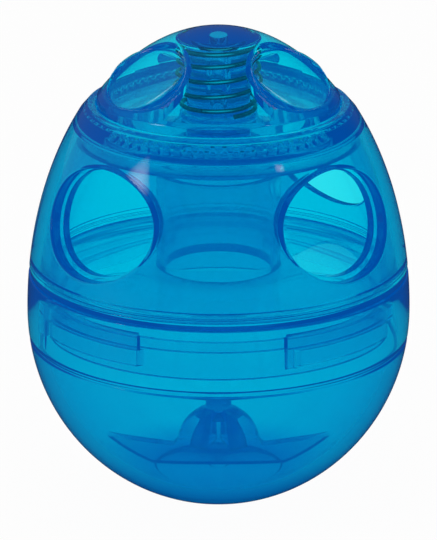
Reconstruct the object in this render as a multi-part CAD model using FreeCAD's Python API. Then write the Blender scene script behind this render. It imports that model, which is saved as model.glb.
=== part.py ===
import FreeCAD, Part
import math
import os
from collections import namedtuple

Vector = FreeCAD.Vector
Corner = namedtuple("Corner", "radius height")
Along = namedtuple("Along", "inset height")
UP = Vector(0, 0, 1)
ORIGIN = Vector(0, 0, 0)
SPAN = 200.0  # longer than the toy, for cutters

# The egg's outline: two half ellipses that meet where it is widest
EGG_RADIUS = 35.0
WIDEST_Z = 33.5
CROWN_REACH = 53.8
FOOT_RADIUS = 13.48

# Clearances
RUN_GAP = 0.2
SLIDE_GAP = 0.15
SEAT_GAP = 0.1
SEAM_INSET = 0.25

# The tray's floor, which parts the cup from the upper shell
FLOOR_UNDER_Z = 41.1
FLOOR_WALL = 1.2
UPSTAND_WALL = 0.7
UPSTAND_HEIGHT = 1.2

# The tray's treat tube
TUBE_BORE_RADIUS = 10.0
TUBE_WALL = 1.3
TUBE_HEIGHT = 17.7

# The twist lock between the tray's neck and the cup's socket
SOCKET_WALL = 1.77
SOCKET_END_GAP = 1.7
NECK_LENGTH = 10.1
NECK_WALL = 1.5
LUG_SPACE = 1.6
LUG_COUNT = 4
LUG_ARC = 40.0
LUG_GAP = 0.3
LUG_MEET_DROP = 5.0
CUP_LUG_HEIGHT = 2.7
TRAY_LUG_HEIGHT = 2.9
STOP_ARC = 3.0
STOP_CLEAR_ARC = 1.0
NECK_RIB_WALL = 1.0
NECK_RIB_DROP = 5.5
NECK_RIB_HEIGHT = 1.8

# The cup
CUP_WALL = 2.5
CUP_FLOOR_WALL = 1.6
CREASE_DEPTH = 0.25
CREASE_HEIGHT = 0.8
FOOT_RIM = 1.28
FOOT_RECESS_DEPTH = 0.8
GATE_RADIUS = 1.7
GATE_DEPTH = 0.5

# The upright web across the cup's foot
WEB_WALL = 2.4
WEB_SADDLE_DROP = 1.6
WEB_END_RISE = 1.6
WEB_FLARE = 1.2
WEB_FLARE_DROP = 1.0

# The fluted feed cone on the web
CONE_FOOT_Z = 8.0
CONE_RADIUS = 7.6
CONE_BULGE = 1.1
CONE_HEIGHT = 5.9
CONE_NECK_RADIUS = 2.4
CONE_NECK_HEIGHT = 1.7
CONE_CORE_RADIUS = 1.6
CONE_SLOT_COUNT = 6
CONE_SLOT_ARC = 28.0
CONE_BRIDGE = 1.2

# The upper shell and its treat holes
SHELL_WALL = 2.0
PLACE_COUNT = 4
PLACE_FIRST_ANGLE = 45.0
HOLE_PLACES = (0, 2, 3)
HOLE_HALF_WIDTH = 12.5
HOLE_ROUND = 0.6

# The lip over the dial
COLLAR_END_Z = 67.7
COLLAR_WALL = 1.46
LIP_WALL = 1.7
LIP_BEVEL_HEIGHT = 1.8
LIP_BEVEL_WIDTH = 1.56

# The ring of click teeth
TOOTH_COUNT = 72
TOOTH_BAND = 1.5
TOOTH_HEIGHT = 1.0
TOOTH_ROOT_WIDTH = 1.3
TOOTH_TIP_WIDTH = 0.8
TOOTH_CLEAR = 0.3

# The dial dome
DOME_INSET = 1.0
DOME_WALL = 1.5
SKIRT_WALL = 2.0
SKIRT_GAP = 0.3
FLANGE_WALL = 1.0
FLANGE_GAP = 0.2
DISH_COUNT = 3
DISH_FIRST_ANGLE = 90.0
DISH_MARGIN = 6.6
DISH_HALF_WIDTH = 9.4
DISH_HALF_LENGTH = 8.0
DISH_DEPTH = 2.8
DISH_BOWL = 0.9
DISH_WALL = 1.2
DISH_ROUND = 0.5

# The dial's post
POST_RADIUS = 5.7
POST_FLAT_CUT = 0.8
POST_FLAT_RISE = 4.4
POST_TAIL = 3.1
POST_CORE_RADIUS = 1.5
POST_CORE_DROP = 1.4
PRESS_TRAVEL = 1.2

# The shutter sleeve
SLEEVE_INSET = 2.4
SLEEVE_WALL = 1.3
SHOULDER_WALL = 1.0
PRESS_CLEAR = 0.3
DRUM_GAP = 1.1
DRUM_HEIGHT = 4.0
DRUM_WALL = 1.2
BOSS_HEIGHT = 0.85
BOSS_GUIDE_DEPTH = 2.6
WINDOW_PLACES = (2, 3)
WINDOW_INSET = 0.6
WINDOW_SILL = 5.0
WINDOW_HEAD = 0.1

# The return spring
WIRE = 0.8
SPRING_POST_GAP = 0.5
SEAT_WALL = 0.67
SEAT_MARGIN = 0.3
CLOSED_PITCH = 1.22
CLOSED_TURNS_BELOW = 1.0
CLOSED_TURNS_ABOVE = 1.5
ACTIVE_TURNS = 3.5
SPRING_START_ANGLE = -65.0

belly_reach = WIDEST_Z / math.sqrt(1 - (FOOT_RADIUS / EGG_RADIUS) ** 2)


def egg_radius(z, inset=0.0):
    """Radius of the egg's outline, drawn in by an inset, at a height."""
    reach = (CROWN_REACH if z >= WIDEST_Z else belly_reach) - inset
    return (EGG_RADIUS - inset) * math.sqrt(max(0, 1 - ((z - WIDEST_Z) / reach) ** 2))


def egg_height(radius, inset=0.0):
    """Height at which the outline's upper half has a radius."""
    reach = CROWN_REACH - inset
    return WIDEST_Z + reach * math.sqrt(max(0, 1 - (radius / (EGG_RADIUS - inset)) ** 2))


def egg_tilt(radius, inset=0.0):
    """Tilt of the outline's upper half from level, in degrees, at a radius."""
    reach, width = CROWN_REACH - inset, EGG_RADIUS - inset
    share = radius / width
    return math.degrees(math.atan(reach / width * share / math.sqrt(1 - share ** 2)))


def on_egg(inset, z):
    """The outline's point at a height."""
    return Corner(egg_radius(z, inset), z)


def egg_arc(inset, low, high):
    """One edge of the outline between two heights on one side of the widest height."""
    sign = 1 if low >= WIDEST_Z else -1
    reach = (CROWN_REACH if sign > 0 else belly_reach) - inset
    centre = Vector(0, 0, WIDEST_Z)
    tip = centre + UP * (sign * reach)
    side = centre + Vector(EGG_RADIUS - inset, 0, 0)
    from_tip = [math.acos(min(1, sign * (z - WIDEST_Z) / reach)) for z in (low, high)]
    if reach >= EGG_RADIUS - inset:
        ellipse, angles = Part.Ellipse(tip, side, centre), sorted(from_tip)
    else:
        ellipse, angles = Part.Ellipse(side, tip, centre), sorted(math.pi / 2 - a for a in from_tip)
    return Part.Arc(ellipse, angles[0], angles[1]).toShape()


def egg_edges(inset, start, end):
    """The outline's edges from one height to another, split at the widest height."""
    low, high = min(start, end), max(start, end)
    if low >= WIDEST_Z or high <= WIDEST_Z:
        return [egg_arc(inset, low, high)]
    edges = [egg_arc(inset, low, WIDEST_Z), egg_arc(inset, WIDEST_Z, high)]
    return edges if start < end else edges[::-1]


def turned(*steps, sweep=360.0):
    """A solid of revolution: a Corner is reached in a line, an Along on the outline."""
    start = Vector(steps[0].radius, 0, steps[0].height)
    here = start
    edges = []
    for step in steps[1:]:
        if isinstance(step, Along):
            edges += egg_edges(step.inset, here.z, step.height)
            here = Vector(egg_radius(step.height, step.inset), 0, step.height)
        else:
            there = Vector(step.radius, 0, step.height)
            edges.append(Part.LineSegment(here, there).toShape())
            here = there
    if not here.isEqual(start, 1e-6):
        edges.append(Part.LineSegment(here, start).toShape())
    face = Part.Face(Part.Wire(edges))
    return face.revolve(ORIGIN, UP, sweep)


def ring(inner, outer, low, high):
    """A plain ring between two radii and two heights."""
    return turned(Corner(inner, low), Corner(outer, low), Corner(outer, high), Corner(inner, high))


def disc(radius, low, high):
    """A plain upright cylinder."""
    return Part.makeCylinder(radius, high - low, Vector(0, 0, low))


def sector(inner, outer, low, high, start, end):
    """A slice of a ring between two angles."""
    corners = [Vector(inner, 0, low), Vector(outer, 0, low),
               Vector(outer, 0, high), Vector(inner, 0, high)]
    face = Part.Face(Part.makePolygon(corners + corners[:1]))
    piece = face.revolve(ORIGIN, UP, end - start)
    piece.rotate(ORIGIN, UP, start)
    return piece


def around(shape, count, first=0.0):
    """Copies of a shape, evenly spaced about the upright axis."""
    copies = []
    for index in range(count):
        copy = shape.copy()
        copy.rotate(ORIGIN, UP, first + index * 360.0 / count)
        copies.append(copy)
    return copies


def tooth(inner, outer, root_z, tip_z):
    """One click tooth, a trapezium drawn out along the radius."""
    half_root, half_tip = TOOTH_ROOT_WIDTH / 2, TOOTH_TIP_WIDTH / 2
    corners = [Vector(inner, -half_root, root_z), Vector(inner, half_root, root_z),
               Vector(inner, half_tip, tip_z), Vector(inner, -half_tip, tip_z)]
    face = Part.Face(Part.makePolygon(corners + corners[:1]))
    return face.extrude(Vector(outer - inner, 0, 0))


def oval_prism(half_width, half_height, start, end):
    """An oval bar along +X at the height of the treat holes."""
    centre = Vector(start, 0, hole_z)
    oval = Part.Ellipse(centre + Vector(0, half_width, 0), centre + Vector(0, 0, half_height), centre)
    return Part.Face(Part.Wire(oval.toShape())).extrude(Vector(end - start, 0, 0))


def whole_ring(plain, pierced, places, extras=()):
    """A full ring of equal slices, pierced at some places, in one solid with other pieces."""
    plain_slices = around(plain, PLACE_COUNT, PLACE_FIRST_ANGLE)
    pierced_slices = around(pierced, PLACE_COUNT, PLACE_FIRST_ANGLE)
    slices = [pierced_slices[place] if place in places else plain_slices[place]
              for place in range(PLACE_COUNT)]
    return slices[0].fuse(slices[1:] + list(extras))


def outline_edges(shape, inset, low, high):
    """The edges of cuts through the outline's surface between two heights."""
    found = []
    for edge in shape.Edges:
        first, last = edge.ParameterRange
        points = [edge.valueAt(first + (last - first) * share) for share in (0.1, 0.37, 0.63, 0.9)]
        heights = [point.z for point in points]
        level = max(heights) - min(heights) < 1e-4
        misses = [abs(math.hypot(p.x, p.y) - egg_radius(p.z, inset)) for p in points]
        if not level and max(misses) < 1e-3 and low < min(heights) and max(heights) < high:
            found.append(edge)
    return found


# Heights and radii of the cup, the tray and their twist lock
floor_top_z = FLOOR_UNDER_Z + FLOOR_WALL
cup_rim_z = FLOOR_UNDER_Z - RUN_GAP
cup_floor_z = FOOT_RECESS_DEPTH + CUP_FLOOR_WALL
socket_radius = egg_radius(cup_rim_z) - SOCKET_WALL
neck_radius = socket_radius - LUG_SPACE
neck_end_z = FLOOR_UNDER_Z - NECK_LENGTH
socket_floor_z = neck_end_z - SOCKET_END_GAP
lug_meet_z = FLOOR_UNDER_Z - LUG_MEET_DROP
lug_first_angle = PLACE_FIRST_ANGLE

# Heights and radii of the lip, its collar and the two rings of teeth
flange_top_z = COLLAR_END_Z + FLANGE_WALL
lip_under_z = flange_top_z + 2 * TOOTH_HEIGHT + TOOTH_CLEAR
lip_top_z = lip_under_z + LIP_WALL
lip_edge_z = lip_top_z - LIP_BEVEL_HEIGHT
lip_top_radius = egg_radius(lip_edge_z) - LIP_BEVEL_WIDTH
collar_radius = egg_radius(lip_edge_z) - COLLAR_WALL
opening_radius = collar_radius - TOOTH_BAND
tooth_inner_radius = opening_radius + SEAT_GAP

# Heights and radii of the dial and of the shutter that it turns
skirt_radius = opening_radius - SKIRT_GAP
skirt_bore_radius = skirt_radius - SKIRT_WALL
flange_radius = collar_radius - FLANGE_GAP
dome_inner_inset = DOME_INSET + DOME_WALL
dish_radius = skirt_radius - DISH_MARGIN
shoulder_z = COLLAR_END_Z - PRESS_TRAVEL - PRESS_CLEAR
shoulder_under_z = shoulder_z - SHOULDER_WALL
drum_radius = skirt_bore_radius - DRUM_GAP
deck_top_z = shoulder_z + DRUM_HEIGHT
boss_top_z = deck_top_z + BOSS_HEIGHT
guide_end_z = deck_top_z - BOSS_GUIDE_DEPTH
spring_radius = POST_RADIUS + SPRING_POST_GAP + WIRE / 2
boss_radius = spring_radius + WIRE / 2
seat_radius = boss_radius + SEAT_MARGIN
spring_top_z = egg_height(seat_radius, DOME_INSET) - SEAT_WALL

# The windows in the shutter, and the treat holes that they line up with
window_low_z = floor_top_z + WINDOW_SILL
window_high_z = shoulder_under_z - WINDOW_HEAD
window_half_height = (window_high_z - window_low_z) / 2
hole_z = (window_high_z + window_low_z) / 2
hole_half_height = window_half_height + WINDOW_INSET
place_share = 360 / PLACE_COUNT


def make_lower_cup():
    crease_mid = socket_floor_z - CREASE_HEIGHT / 2
    crease_low = socket_floor_z - CREASE_HEIGHT
    cup = turned(
        Corner(0, cup_floor_z),
        on_egg(CUP_WALL, cup_floor_z),
        Along(CUP_WALL, socket_floor_z),
        Corner(socket_radius, socket_floor_z),
        Corner(socket_radius, cup_rim_z),
        on_egg(0, cup_rim_z),
        Along(0, socket_floor_z),
        on_egg(CREASE_DEPTH, crease_mid),
        on_egg(0, crease_low),
        Along(0, 0),
        Corner(FOOT_RADIUS - FOOT_RIM, 0),
        Corner(FOOT_RADIUS - FOOT_RIM, FOOT_RECESS_DEPTH),
        Corner(GATE_RADIUS, FOOT_RECESS_DEPTH),
        Corner(GATE_RADIUS, FOOT_RECESS_DEPTH + GATE_DEPTH),
        Corner(0, FOOT_RECESS_DEPTH + GATE_DEPTH),
    )
    inner = neck_radius + LUG_GAP + SEAT_GAP
    root = socket_radius + SEAT_GAP
    half = LUG_ARC / 2
    stop_far = half + STOP_CLEAR_ARC + STOP_ARC
    lug = sector(inner, root, lug_meet_z, lug_meet_z + CUP_LUG_HEIGHT, -stop_far, half)
    stop_low = lug_meet_z - LUG_GAP - TRAY_LUG_HEIGHT
    stop = sector(inner, root, stop_low, lug_meet_z, -stop_far, -half - STOP_CLEAR_ARC)
    lugs = around(lug.fuse(stop), LUG_COUNT, lug_first_angle)
    return cup.fuse(lugs + [make_foot_web(), make_feed_cone()]).removeSplitter()


def make_foot_web():
    """The upright web across the cup's foot, in one piece with the cup and the feed cone."""
    saddle_z = CONE_FOOT_Z - WEB_SADDLE_DROP
    end_z = saddle_z + WEB_END_RISE
    root = CUP_WALL - SEAT_GAP
    flare_x = CONE_RADIUS + WEB_FLARE
    end_x = max(egg_radius(end_z, root), flare_x + WEB_WALL)
    side = [(CONE_RADIUS - WEB_FLARE / 4, CONE_FOOT_Z + SEAT_GAP),
            (CONE_RADIUS + WEB_FLARE / 4, CONE_FOOT_Z - WEB_FLARE_DROP),
            (flare_x, saddle_z), (end_x, end_z), (SPAN, end_z), (SPAN, 0)]
    corners = [Vector(x, -WEB_WALL / 2, z) for x, z in side]
    corners += [Vector(-x, -WEB_WALL / 2, z) for x, z in reversed(side)]
    plate = Part.Face(Part.makePolygon(corners + corners[:1])).extrude(Vector(0, WEB_WALL, 0))
    top_z = max(end_z, CONE_FOOT_Z) + CONE_HEIGHT
    inside = turned(
        Corner(0, cup_floor_z - SEAT_GAP),
        on_egg(root, cup_floor_z - SEAT_GAP),
        Along(root, top_z),
        Corner(0, top_z),
    )
    return plate.common(inside)


def make_feed_cone():
    """The fluted bell on the foot's web."""
    top = CONE_FOOT_Z + CONE_HEIGHT
    neck_top = top + CONE_NECK_HEIGHT
    width = CONE_RADIUS - CONE_NECK_RADIUS
    slant = math.hypot(width, CONE_HEIGHT)
    middle = Vector((CONE_RADIUS + CONE_NECK_RADIUS) / 2 + CONE_BULGE * CONE_HEIGHT / slant, 0,
                    (CONE_FOOT_Z + top) / 2 + CONE_BULGE * width / slant)
    corners = [Vector(CONE_NECK_RADIUS, 0, top), Vector(CONE_NECK_RADIUS, 0, neck_top),
               Vector(0, 0, neck_top), Vector(0, 0, CONE_FOOT_Z), Vector(CONE_RADIUS, 0, CONE_FOOT_Z)]
    edges = [Part.Arc(corners[-1], middle, corners[0]).toShape()]
    edges += [Part.LineSegment(a, b).toShape() for a, b in zip(corners, corners[1:])]
    bell = Part.Face(Part.Wire(edges)).revolve(ORIGIN, UP, 360)
    half = CONE_SLOT_ARC / 2
    slot = sector(CONE_CORE_RADIUS, CONE_RADIUS * 2, 0, top - CONE_BRIDGE, -half, half)
    return bell.cut(around(slot, CONE_SLOT_COUNT, 180 / CONE_SLOT_COUNT))


def make_divider_tray():
    tube_radius = TUBE_BORE_RADIUS + TUBE_WALL
    neck_bore = neck_radius - NECK_WALL
    upstand_outer = egg_radius(floor_top_z, SHELL_WALL) + UPSTAND_WALL
    upstand_inner = upstand_outer - UPSTAND_WALL
    rib_low = FLOOR_UNDER_Z - NECK_RIB_DROP
    rib_top = rib_low + NECK_RIB_HEIGHT
    tube_top = floor_top_z + TUBE_HEIGHT
    tray = turned(
        Corner(TUBE_BORE_RADIUS, FLOOR_UNDER_Z),
        Corner(TUBE_BORE_RADIUS, tube_top),
        Corner(tube_radius, tube_top),
        Corner(tube_radius, floor_top_z),
        Corner(upstand_inner, floor_top_z),
        Corner(upstand_inner, floor_top_z + UPSTAND_HEIGHT),
        Corner(upstand_outer, floor_top_z + UPSTAND_HEIGHT),
        Corner(upstand_outer, floor_top_z),
        on_egg(SEAM_INSET, floor_top_z),
        Along(SEAM_INSET, FLOOR_UNDER_Z),
        Corner(neck_radius, FLOOR_UNDER_Z),
        Corner(neck_radius, neck_end_z),
        Corner(neck_bore, neck_end_z),
        Corner(neck_bore, rib_low),
        Corner(neck_bore - NECK_RIB_WALL, rib_low),
        Corner(neck_bore - NECK_RIB_WALL, rib_top),
        Corner(neck_bore, rib_top),
        Corner(neck_bore, FLOOR_UNDER_Z),
    )
    outer = socket_radius - LUG_GAP - SEAT_GAP
    top = lug_meet_z - LUG_GAP
    half = LUG_ARC / 2
    lug = sector(neck_radius - SEAT_GAP, outer, top - TRAY_LUG_HEIGHT, top, -half, half)
    return tray.fuse(around(lug, LUG_COUNT, lug_first_angle)).removeSplitter()


def make_upper_shell():
    rabbet_radius = egg_radius(floor_top_z, SHELL_WALL) + UPSTAND_WALL + SEAT_GAP
    rabbet_top = floor_top_z + UPSTAND_HEIGHT + SEAT_GAP
    part = turned(
        Corner(rabbet_radius, floor_top_z),
        on_egg(0, floor_top_z),
        Along(0, lip_edge_z),
        Corner(lip_top_radius, lip_top_z),
        Corner(opening_radius, lip_top_z),
        Corner(opening_radius, lip_under_z),
        Corner(collar_radius, lip_under_z),
        Corner(collar_radius, COLLAR_END_Z),
        on_egg(SHELL_WALL, COLLAR_END_Z),
        Along(SHELL_WALL, rabbet_top),
        Corner(rabbet_radius, rabbet_top),
        sweep=place_share,
    )
    part.rotate(ORIGIN, UP, -place_share / 2)
    hole = oval_prism(HOLE_HALF_WIDTH, hole_half_height, TUBE_BORE_RADIUS, EGG_RADIUS + SHELL_WALL)
    pierced = part.cut(hole)
    rims = outline_edges(pierced, 0, hole_z - hole_half_height - 1, hole_z + hole_half_height + 1)
    pierced = pierced.makeFillet(HOLE_ROUND, rims)
    outer = collar_radius + SEAT_GAP
    teeth = tooth(tooth_inner_radius, outer, lip_under_z, lip_under_z - TOOTH_HEIGHT)
    return whole_ring(part, pierced, HOLE_PLACES, around(teeth, TOOTH_COUNT))


def post_blank(clearance, low, high):
    """The post's double-D bar, grown by a clearance on every side."""
    bar = disc(POST_RADIUS + clearance, low, high)
    flat = POST_RADIUS - POST_FLAT_CUT + clearance
    slab = Part.makeBox(SPAN, 2 * flat, high - low, Vector(-SPAN / 2, -flat, low))
    return bar.common(slab)


def make_shutter_sleeve():
    inner_inset = SLEEVE_INSET + SLEEVE_WALL
    foot_z = floor_top_z + SLIDE_GAP
    deck_under = deck_top_z - DRUM_WALL
    part = turned(
        on_egg(inner_inset, foot_z),
        on_egg(SLEEVE_INSET, foot_z),
        Along(SLEEVE_INSET, shoulder_z),
        Corner(drum_radius, shoulder_z),
        Corner(drum_radius, deck_top_z),
        Corner(boss_radius, deck_top_z),
        Corner(boss_radius, boss_top_z),
        Corner(0, boss_top_z),
        Corner(0, guide_end_z),
        Corner(boss_radius, guide_end_z),
        Corner(boss_radius, deck_under),
        Corner(drum_radius - DRUM_WALL, deck_under),
        Corner(drum_radius - DRUM_WALL, shoulder_under_z),
        on_egg(inner_inset, shoulder_under_z),
        Along(inner_inset, foot_z),
        sweep=place_share,
    )
    part.rotate(ORIGIN, UP, -place_share / 2)
    window = oval_prism(HOLE_HALF_WIDTH - WINDOW_INSET, window_half_height,
                        TUBE_BORE_RADIUS, EGG_RADIUS)
    bore = post_blank(SLIDE_GAP, guide_end_z, boss_top_z)
    return whole_ring(part, part.cut(window), WINDOW_PLACES).cut(bore)


def dish_plug(margin, drop, top):
    """The oval bowl of one finger dish: its walls grown by a margin, its floor lowered."""
    half_width = DISH_HALF_WIDTH + margin
    floor = -DISH_DEPTH - drop
    brim = Vector(half_width, 0, floor + DISH_BOWL)
    share = 0.5
    bowl = Part.Arc(brim, Vector(half_width * share, 0, floor + DISH_BOWL * share ** 2),
                    Vector(0, 0, floor)).toShape()
    lines = [Vector(0, 0, floor), Vector(0, 0, top), Vector(half_width, 0, top), brim]
    edges = [bowl] + [Part.LineSegment(a, b).toShape() for a, b in zip(lines, lines[1:])]
    plug = Part.Face(Part.Wire(edges)).revolve(ORIGIN, UP, 360)
    squeeze = FreeCAD.Matrix()
    squeeze.scale((DISH_HALF_LENGTH + margin) / half_width, 1, 1)
    plug = plug.transformGeometry(squeeze)
    plug.rotate(ORIGIN, Vector(0, 1, 0), egg_tilt(dish_radius, DOME_INSET))
    plug.translate(Vector(dish_radius, 0, egg_height(dish_radius, DOME_INSET)))
    return plug


def make_dial_dome():
    skirt_top = egg_height(skirt_radius, DOME_INSET)
    inner_top = egg_height(skirt_bore_radius, dome_inner_inset)
    tip = WIDEST_Z + CROWN_REACH
    solid = turned(
        Corner(0, COLLAR_END_Z),
        Corner(flange_radius, COLLAR_END_Z),
        Corner(flange_radius, flange_top_z),
        Corner(skirt_radius, flange_top_z),
        Corner(skirt_radius, skirt_top),
        Along(DOME_INSET, tip - DOME_INSET),
    )
    hollow = turned(
        Corner(0, COLLAR_END_Z),
        Corner(skirt_bore_radius, COLLAR_END_Z),
        Corner(skirt_bore_radius, inner_top),
        Along(dome_inner_inset, tip - dome_inner_inset),
    )
    bulges = around(dish_plug(DISH_WALL, DISH_WALL, DISH_WALL), DISH_COUNT, DISH_FIRST_ANGLE)
    dome = solid.cut(hollow.cut(bulges))
    bowls = around(dish_plug(0, 0, SHELL_WALL * 2), DISH_COUNT, DISH_FIRST_ANGLE)
    dome = dome.cut(bowls)
    rims = outline_edges(dome, DOME_INSET, skirt_top - DOME_WALL, tip)
    dome = dome.makeFillet(DISH_ROUND, rims)
    spring_room = ring(POST_RADIUS, seat_radius, deck_top_z, spring_top_z)
    dome = dome.cut(spring_room)
    tooth_outer = flange_radius - SEAT_GAP
    teeth = tooth(tooth_inner_radius, tooth_outer, flange_top_z, flange_top_z + TOOTH_HEIGHT)
    post_end = guide_end_z - POST_TAIL
    flat_top = deck_top_z + POST_FLAT_RISE
    post = disc(POST_RADIUS, flat_top, spring_top_z + SEAT_GAP)
    shank = post_blank(0, post_end, flat_top)
    core = disc(POST_CORE_RADIUS, post_end, spring_top_z - POST_CORE_DROP)
    half_pitch = 180.0 / TOOTH_COUNT
    dome = dome.fuse(around(teeth, TOOTH_COUNT, half_pitch) + [post, shank])
    return dome.cut(core).removeSplitter()


def spring_point(turn):
    """A point of the spring's centre line after a number of turns, and its direction."""
    rise = spring_top_z - boss_top_z - WIRE
    closed_rise = (CLOSED_TURNS_BELOW + CLOSED_TURNS_ABOVE) * CLOSED_PITCH
    active_pitch = (rise - closed_rise) / ACTIVE_TURNS
    active_start = CLOSED_TURNS_BELOW
    active_end = CLOSED_TURNS_BELOW + ACTIVE_TURNS
    active = min(max(turn - active_start, 0.0), ACTIVE_TURNS)
    height = boss_top_z + WIRE / 2 + (turn - active) * CLOSED_PITCH + active * active_pitch
    pitch = active_pitch if active_start < turn < active_end else CLOSED_PITCH
    if turn in (active_start, active_end):
        pitch = (active_pitch + CLOSED_PITCH) / 2
    angle = math.radians(SPRING_START_ANGLE) + 2 * math.pi * turn
    along = Vector(-math.sin(angle), math.cos(angle), pitch / (2 * math.pi * spring_radius))
    point = Vector(spring_radius * math.cos(angle), spring_radius * math.sin(angle), height)
    return point, along.normalize()


def tangent_arc(start, along, end):
    """The arc that leaves a point in a direction and ends at another point."""
    chord = end - start
    length = chord.Length
    toward = chord * (1 / length)
    aside = along - toward * along.dot(toward)
    turn = math.atan2(aside.Length, along.dot(toward))
    middle = (start + end) * 0.5 + aside.normalize() * (length / 2 * math.tan(turn / 2))
    return Part.Arc(start, middle, end)


def biarc(start, start_along, end, end_along):
    """Two arcs that join two points and keep the direction at each."""
    chord = end - start
    both = start_along + end_along
    spread = 2 * (1 - start_along.dot(end_along))
    reach = chord.dot(both)
    step = (-reach + math.sqrt(reach ** 2 + spread * chord.dot(chord))) / spread
    joint = (start + start_along * step + end - end_along * step) * 0.5
    middle_along = (end - end_along * step - start - start_along * step).normalize()
    return [tangent_arc(start, start_along, joint), tangent_arc(joint, middle_along, end)]


def make_return_spring():
    turns = CLOSED_TURNS_BELOW + ACTIVE_TURNS + CLOSED_TURNS_ABOVE
    steps = round(turns * 4)
    knots = [spring_point(turns * index / steps) for index in range(steps + 1)]
    arcs = []
    for (start, start_along), (end, end_along) in zip(knots, knots[1:]):
        arcs += biarc(start, start_along, end, end_along)
    path = Part.Wire([arc.toShape() for arc in arcs])
    section = Part.Wire(Part.makeCircle(WIRE / 2, knots[0][0], knots[0][1]))
    print_spring_gap(turns)
    return path.makePipeShell([section], True, False)


def print_spring_gap(turns):
    """Measure the least gap between one turn of the wire and the next, on points."""
    per_turn = 72
    points = [spring_point(index / per_turn)[0] for index in range(round(turns * per_turn) + 1)]
    gaps = [(first - second).Length - WIRE
            for index, first in enumerate(points)
            for second in points[index + per_turn // 2:]]
    print("least gap of the spring to itself: %.2f mm" % min(gaps))


PIECES = {
    "lower_cup": make_lower_cup,
    "divider_tray": make_divider_tray,
    "upper_shell": make_upper_shell,
    "shutter_sleeve": make_shutter_sleeve,
    "dial_dome": make_dial_dome,
    "return_spring": make_return_spring,
}

os.makedirs("parts", exist_ok=True)
for name, make in PIECES.items():
    shape = make()
    solids = shape.Solids
    assert shape.isValid() and len(solids) == 1, name
    solids[0].exportStep("parts/%s.step" % name)
    box = shape.optimalBoundingBox(False)
    print("%s: %.0f mm3, %.2f x %.2f, z %.2f to %.2f"
          % (name, shape.Volume, box.XLength, box.YLength, box.ZMin, box.ZMax))
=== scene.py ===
"""Dress the treat dispenser: a clear blue egg with a shutter, a push-and-turn dial and a spring."""

import logging
import math
from dataclasses import dataclass, field
from enum import Enum
from typing import Sequence

import bmesh
import bpy
import numpy as np
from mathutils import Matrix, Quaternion, Vector


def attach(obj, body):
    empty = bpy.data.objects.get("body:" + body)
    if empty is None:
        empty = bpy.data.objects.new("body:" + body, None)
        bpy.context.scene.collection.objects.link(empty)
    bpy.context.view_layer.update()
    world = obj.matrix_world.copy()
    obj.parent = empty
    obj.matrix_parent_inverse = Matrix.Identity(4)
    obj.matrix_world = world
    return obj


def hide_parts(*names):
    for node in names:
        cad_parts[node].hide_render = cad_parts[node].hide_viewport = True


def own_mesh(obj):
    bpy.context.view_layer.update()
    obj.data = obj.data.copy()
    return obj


LOG = logging.getLogger("treat_egg")
MM = 0.001
COLUMNS = 432
COLUMN_ANGLES = np.arange(COLUMNS) * (2 * math.pi / COLUMNS)
SIDE_ROWS = 44
SHARP_ANGLE = math.radians(38)
STRAIGHT_ANGLE = math.radians(25)
CORNER_ROOM = 2.1
CORNER_SPANS = 4
SEAM_GAP = 0.03
JOIN_DISTANCE = 5e-6
SLIVER = 1e-7
TINY = 1e-6
NO_FLAT = 1e3
WHOLE_TURNS = 100
CM3 = 1e-6
WHITE = (1.0, 1.0, 1.0)

# Red, green and blue
Colour = tuple[float, float, float]
# How far a wall is drawn in, and the lower and upper height of a band of it
Band = tuple[float, float, float]
# Angles about the toy's axis, and the radii or heights that go with them
Loop = tuple[np.ndarray, np.ndarray]

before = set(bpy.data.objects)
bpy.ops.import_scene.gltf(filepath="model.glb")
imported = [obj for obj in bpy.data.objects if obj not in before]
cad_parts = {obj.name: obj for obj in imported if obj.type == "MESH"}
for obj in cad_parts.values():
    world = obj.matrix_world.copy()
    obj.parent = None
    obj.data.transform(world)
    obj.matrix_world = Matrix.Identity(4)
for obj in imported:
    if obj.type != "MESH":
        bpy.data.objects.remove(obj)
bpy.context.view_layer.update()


class Step(Enum):
    """The repeated forms that rise out of a turned piece, by their attribute's name."""

    TOOTH = "tooth_step"
    LUG = "lug_step"
    STOP = "stop_step"
    PETAL = "petal_step"


# Sizes that the pieces share


@dataclass(frozen=True)
class Egg:
    """The toy's outline: two half ellipses that meet where it is widest, in millimetres."""

    radius: float = 35.0
    widest_z: float = 33.5
    crown_reach: float = 53.8
    foot_radius: float = 13.48

    @property
    def belly_reach(self) -> float:
        """Depth of the ideal lower tip under the widest height."""
        return self.widest_z / math.sqrt(1 - (self.foot_radius / self.radius) ** 2)

    def radius_at(self, z: np.ndarray | float, inset: float = 0.0) -> np.ndarray:
        """Radius of the outline at a height.

        Args:
            z: One height or an array of heights.
            inset: How far the outline is drawn in.

        Returns:
            The radius at each height.
        """
        z = np.asarray(z, float)
        reach = np.where(z >= self.widest_z, self.crown_reach, self.belly_reach) - inset
        share = 1 - ((z - self.widest_z) / reach) ** 2
        return (self.radius - inset) * np.sqrt(np.maximum(share, 0))

    def height_at(self, radius: np.ndarray | float, inset: float = 0.0) -> np.ndarray:
        """Height at which the upper half of the outline, drawn in by the inset, has a radius."""
        share = 1 - (np.asarray(radius, float) / (self.radius - inset)) ** 2
        return self.widest_z + (self.crown_reach - inset) * np.sqrt(np.maximum(share, 0))


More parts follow.
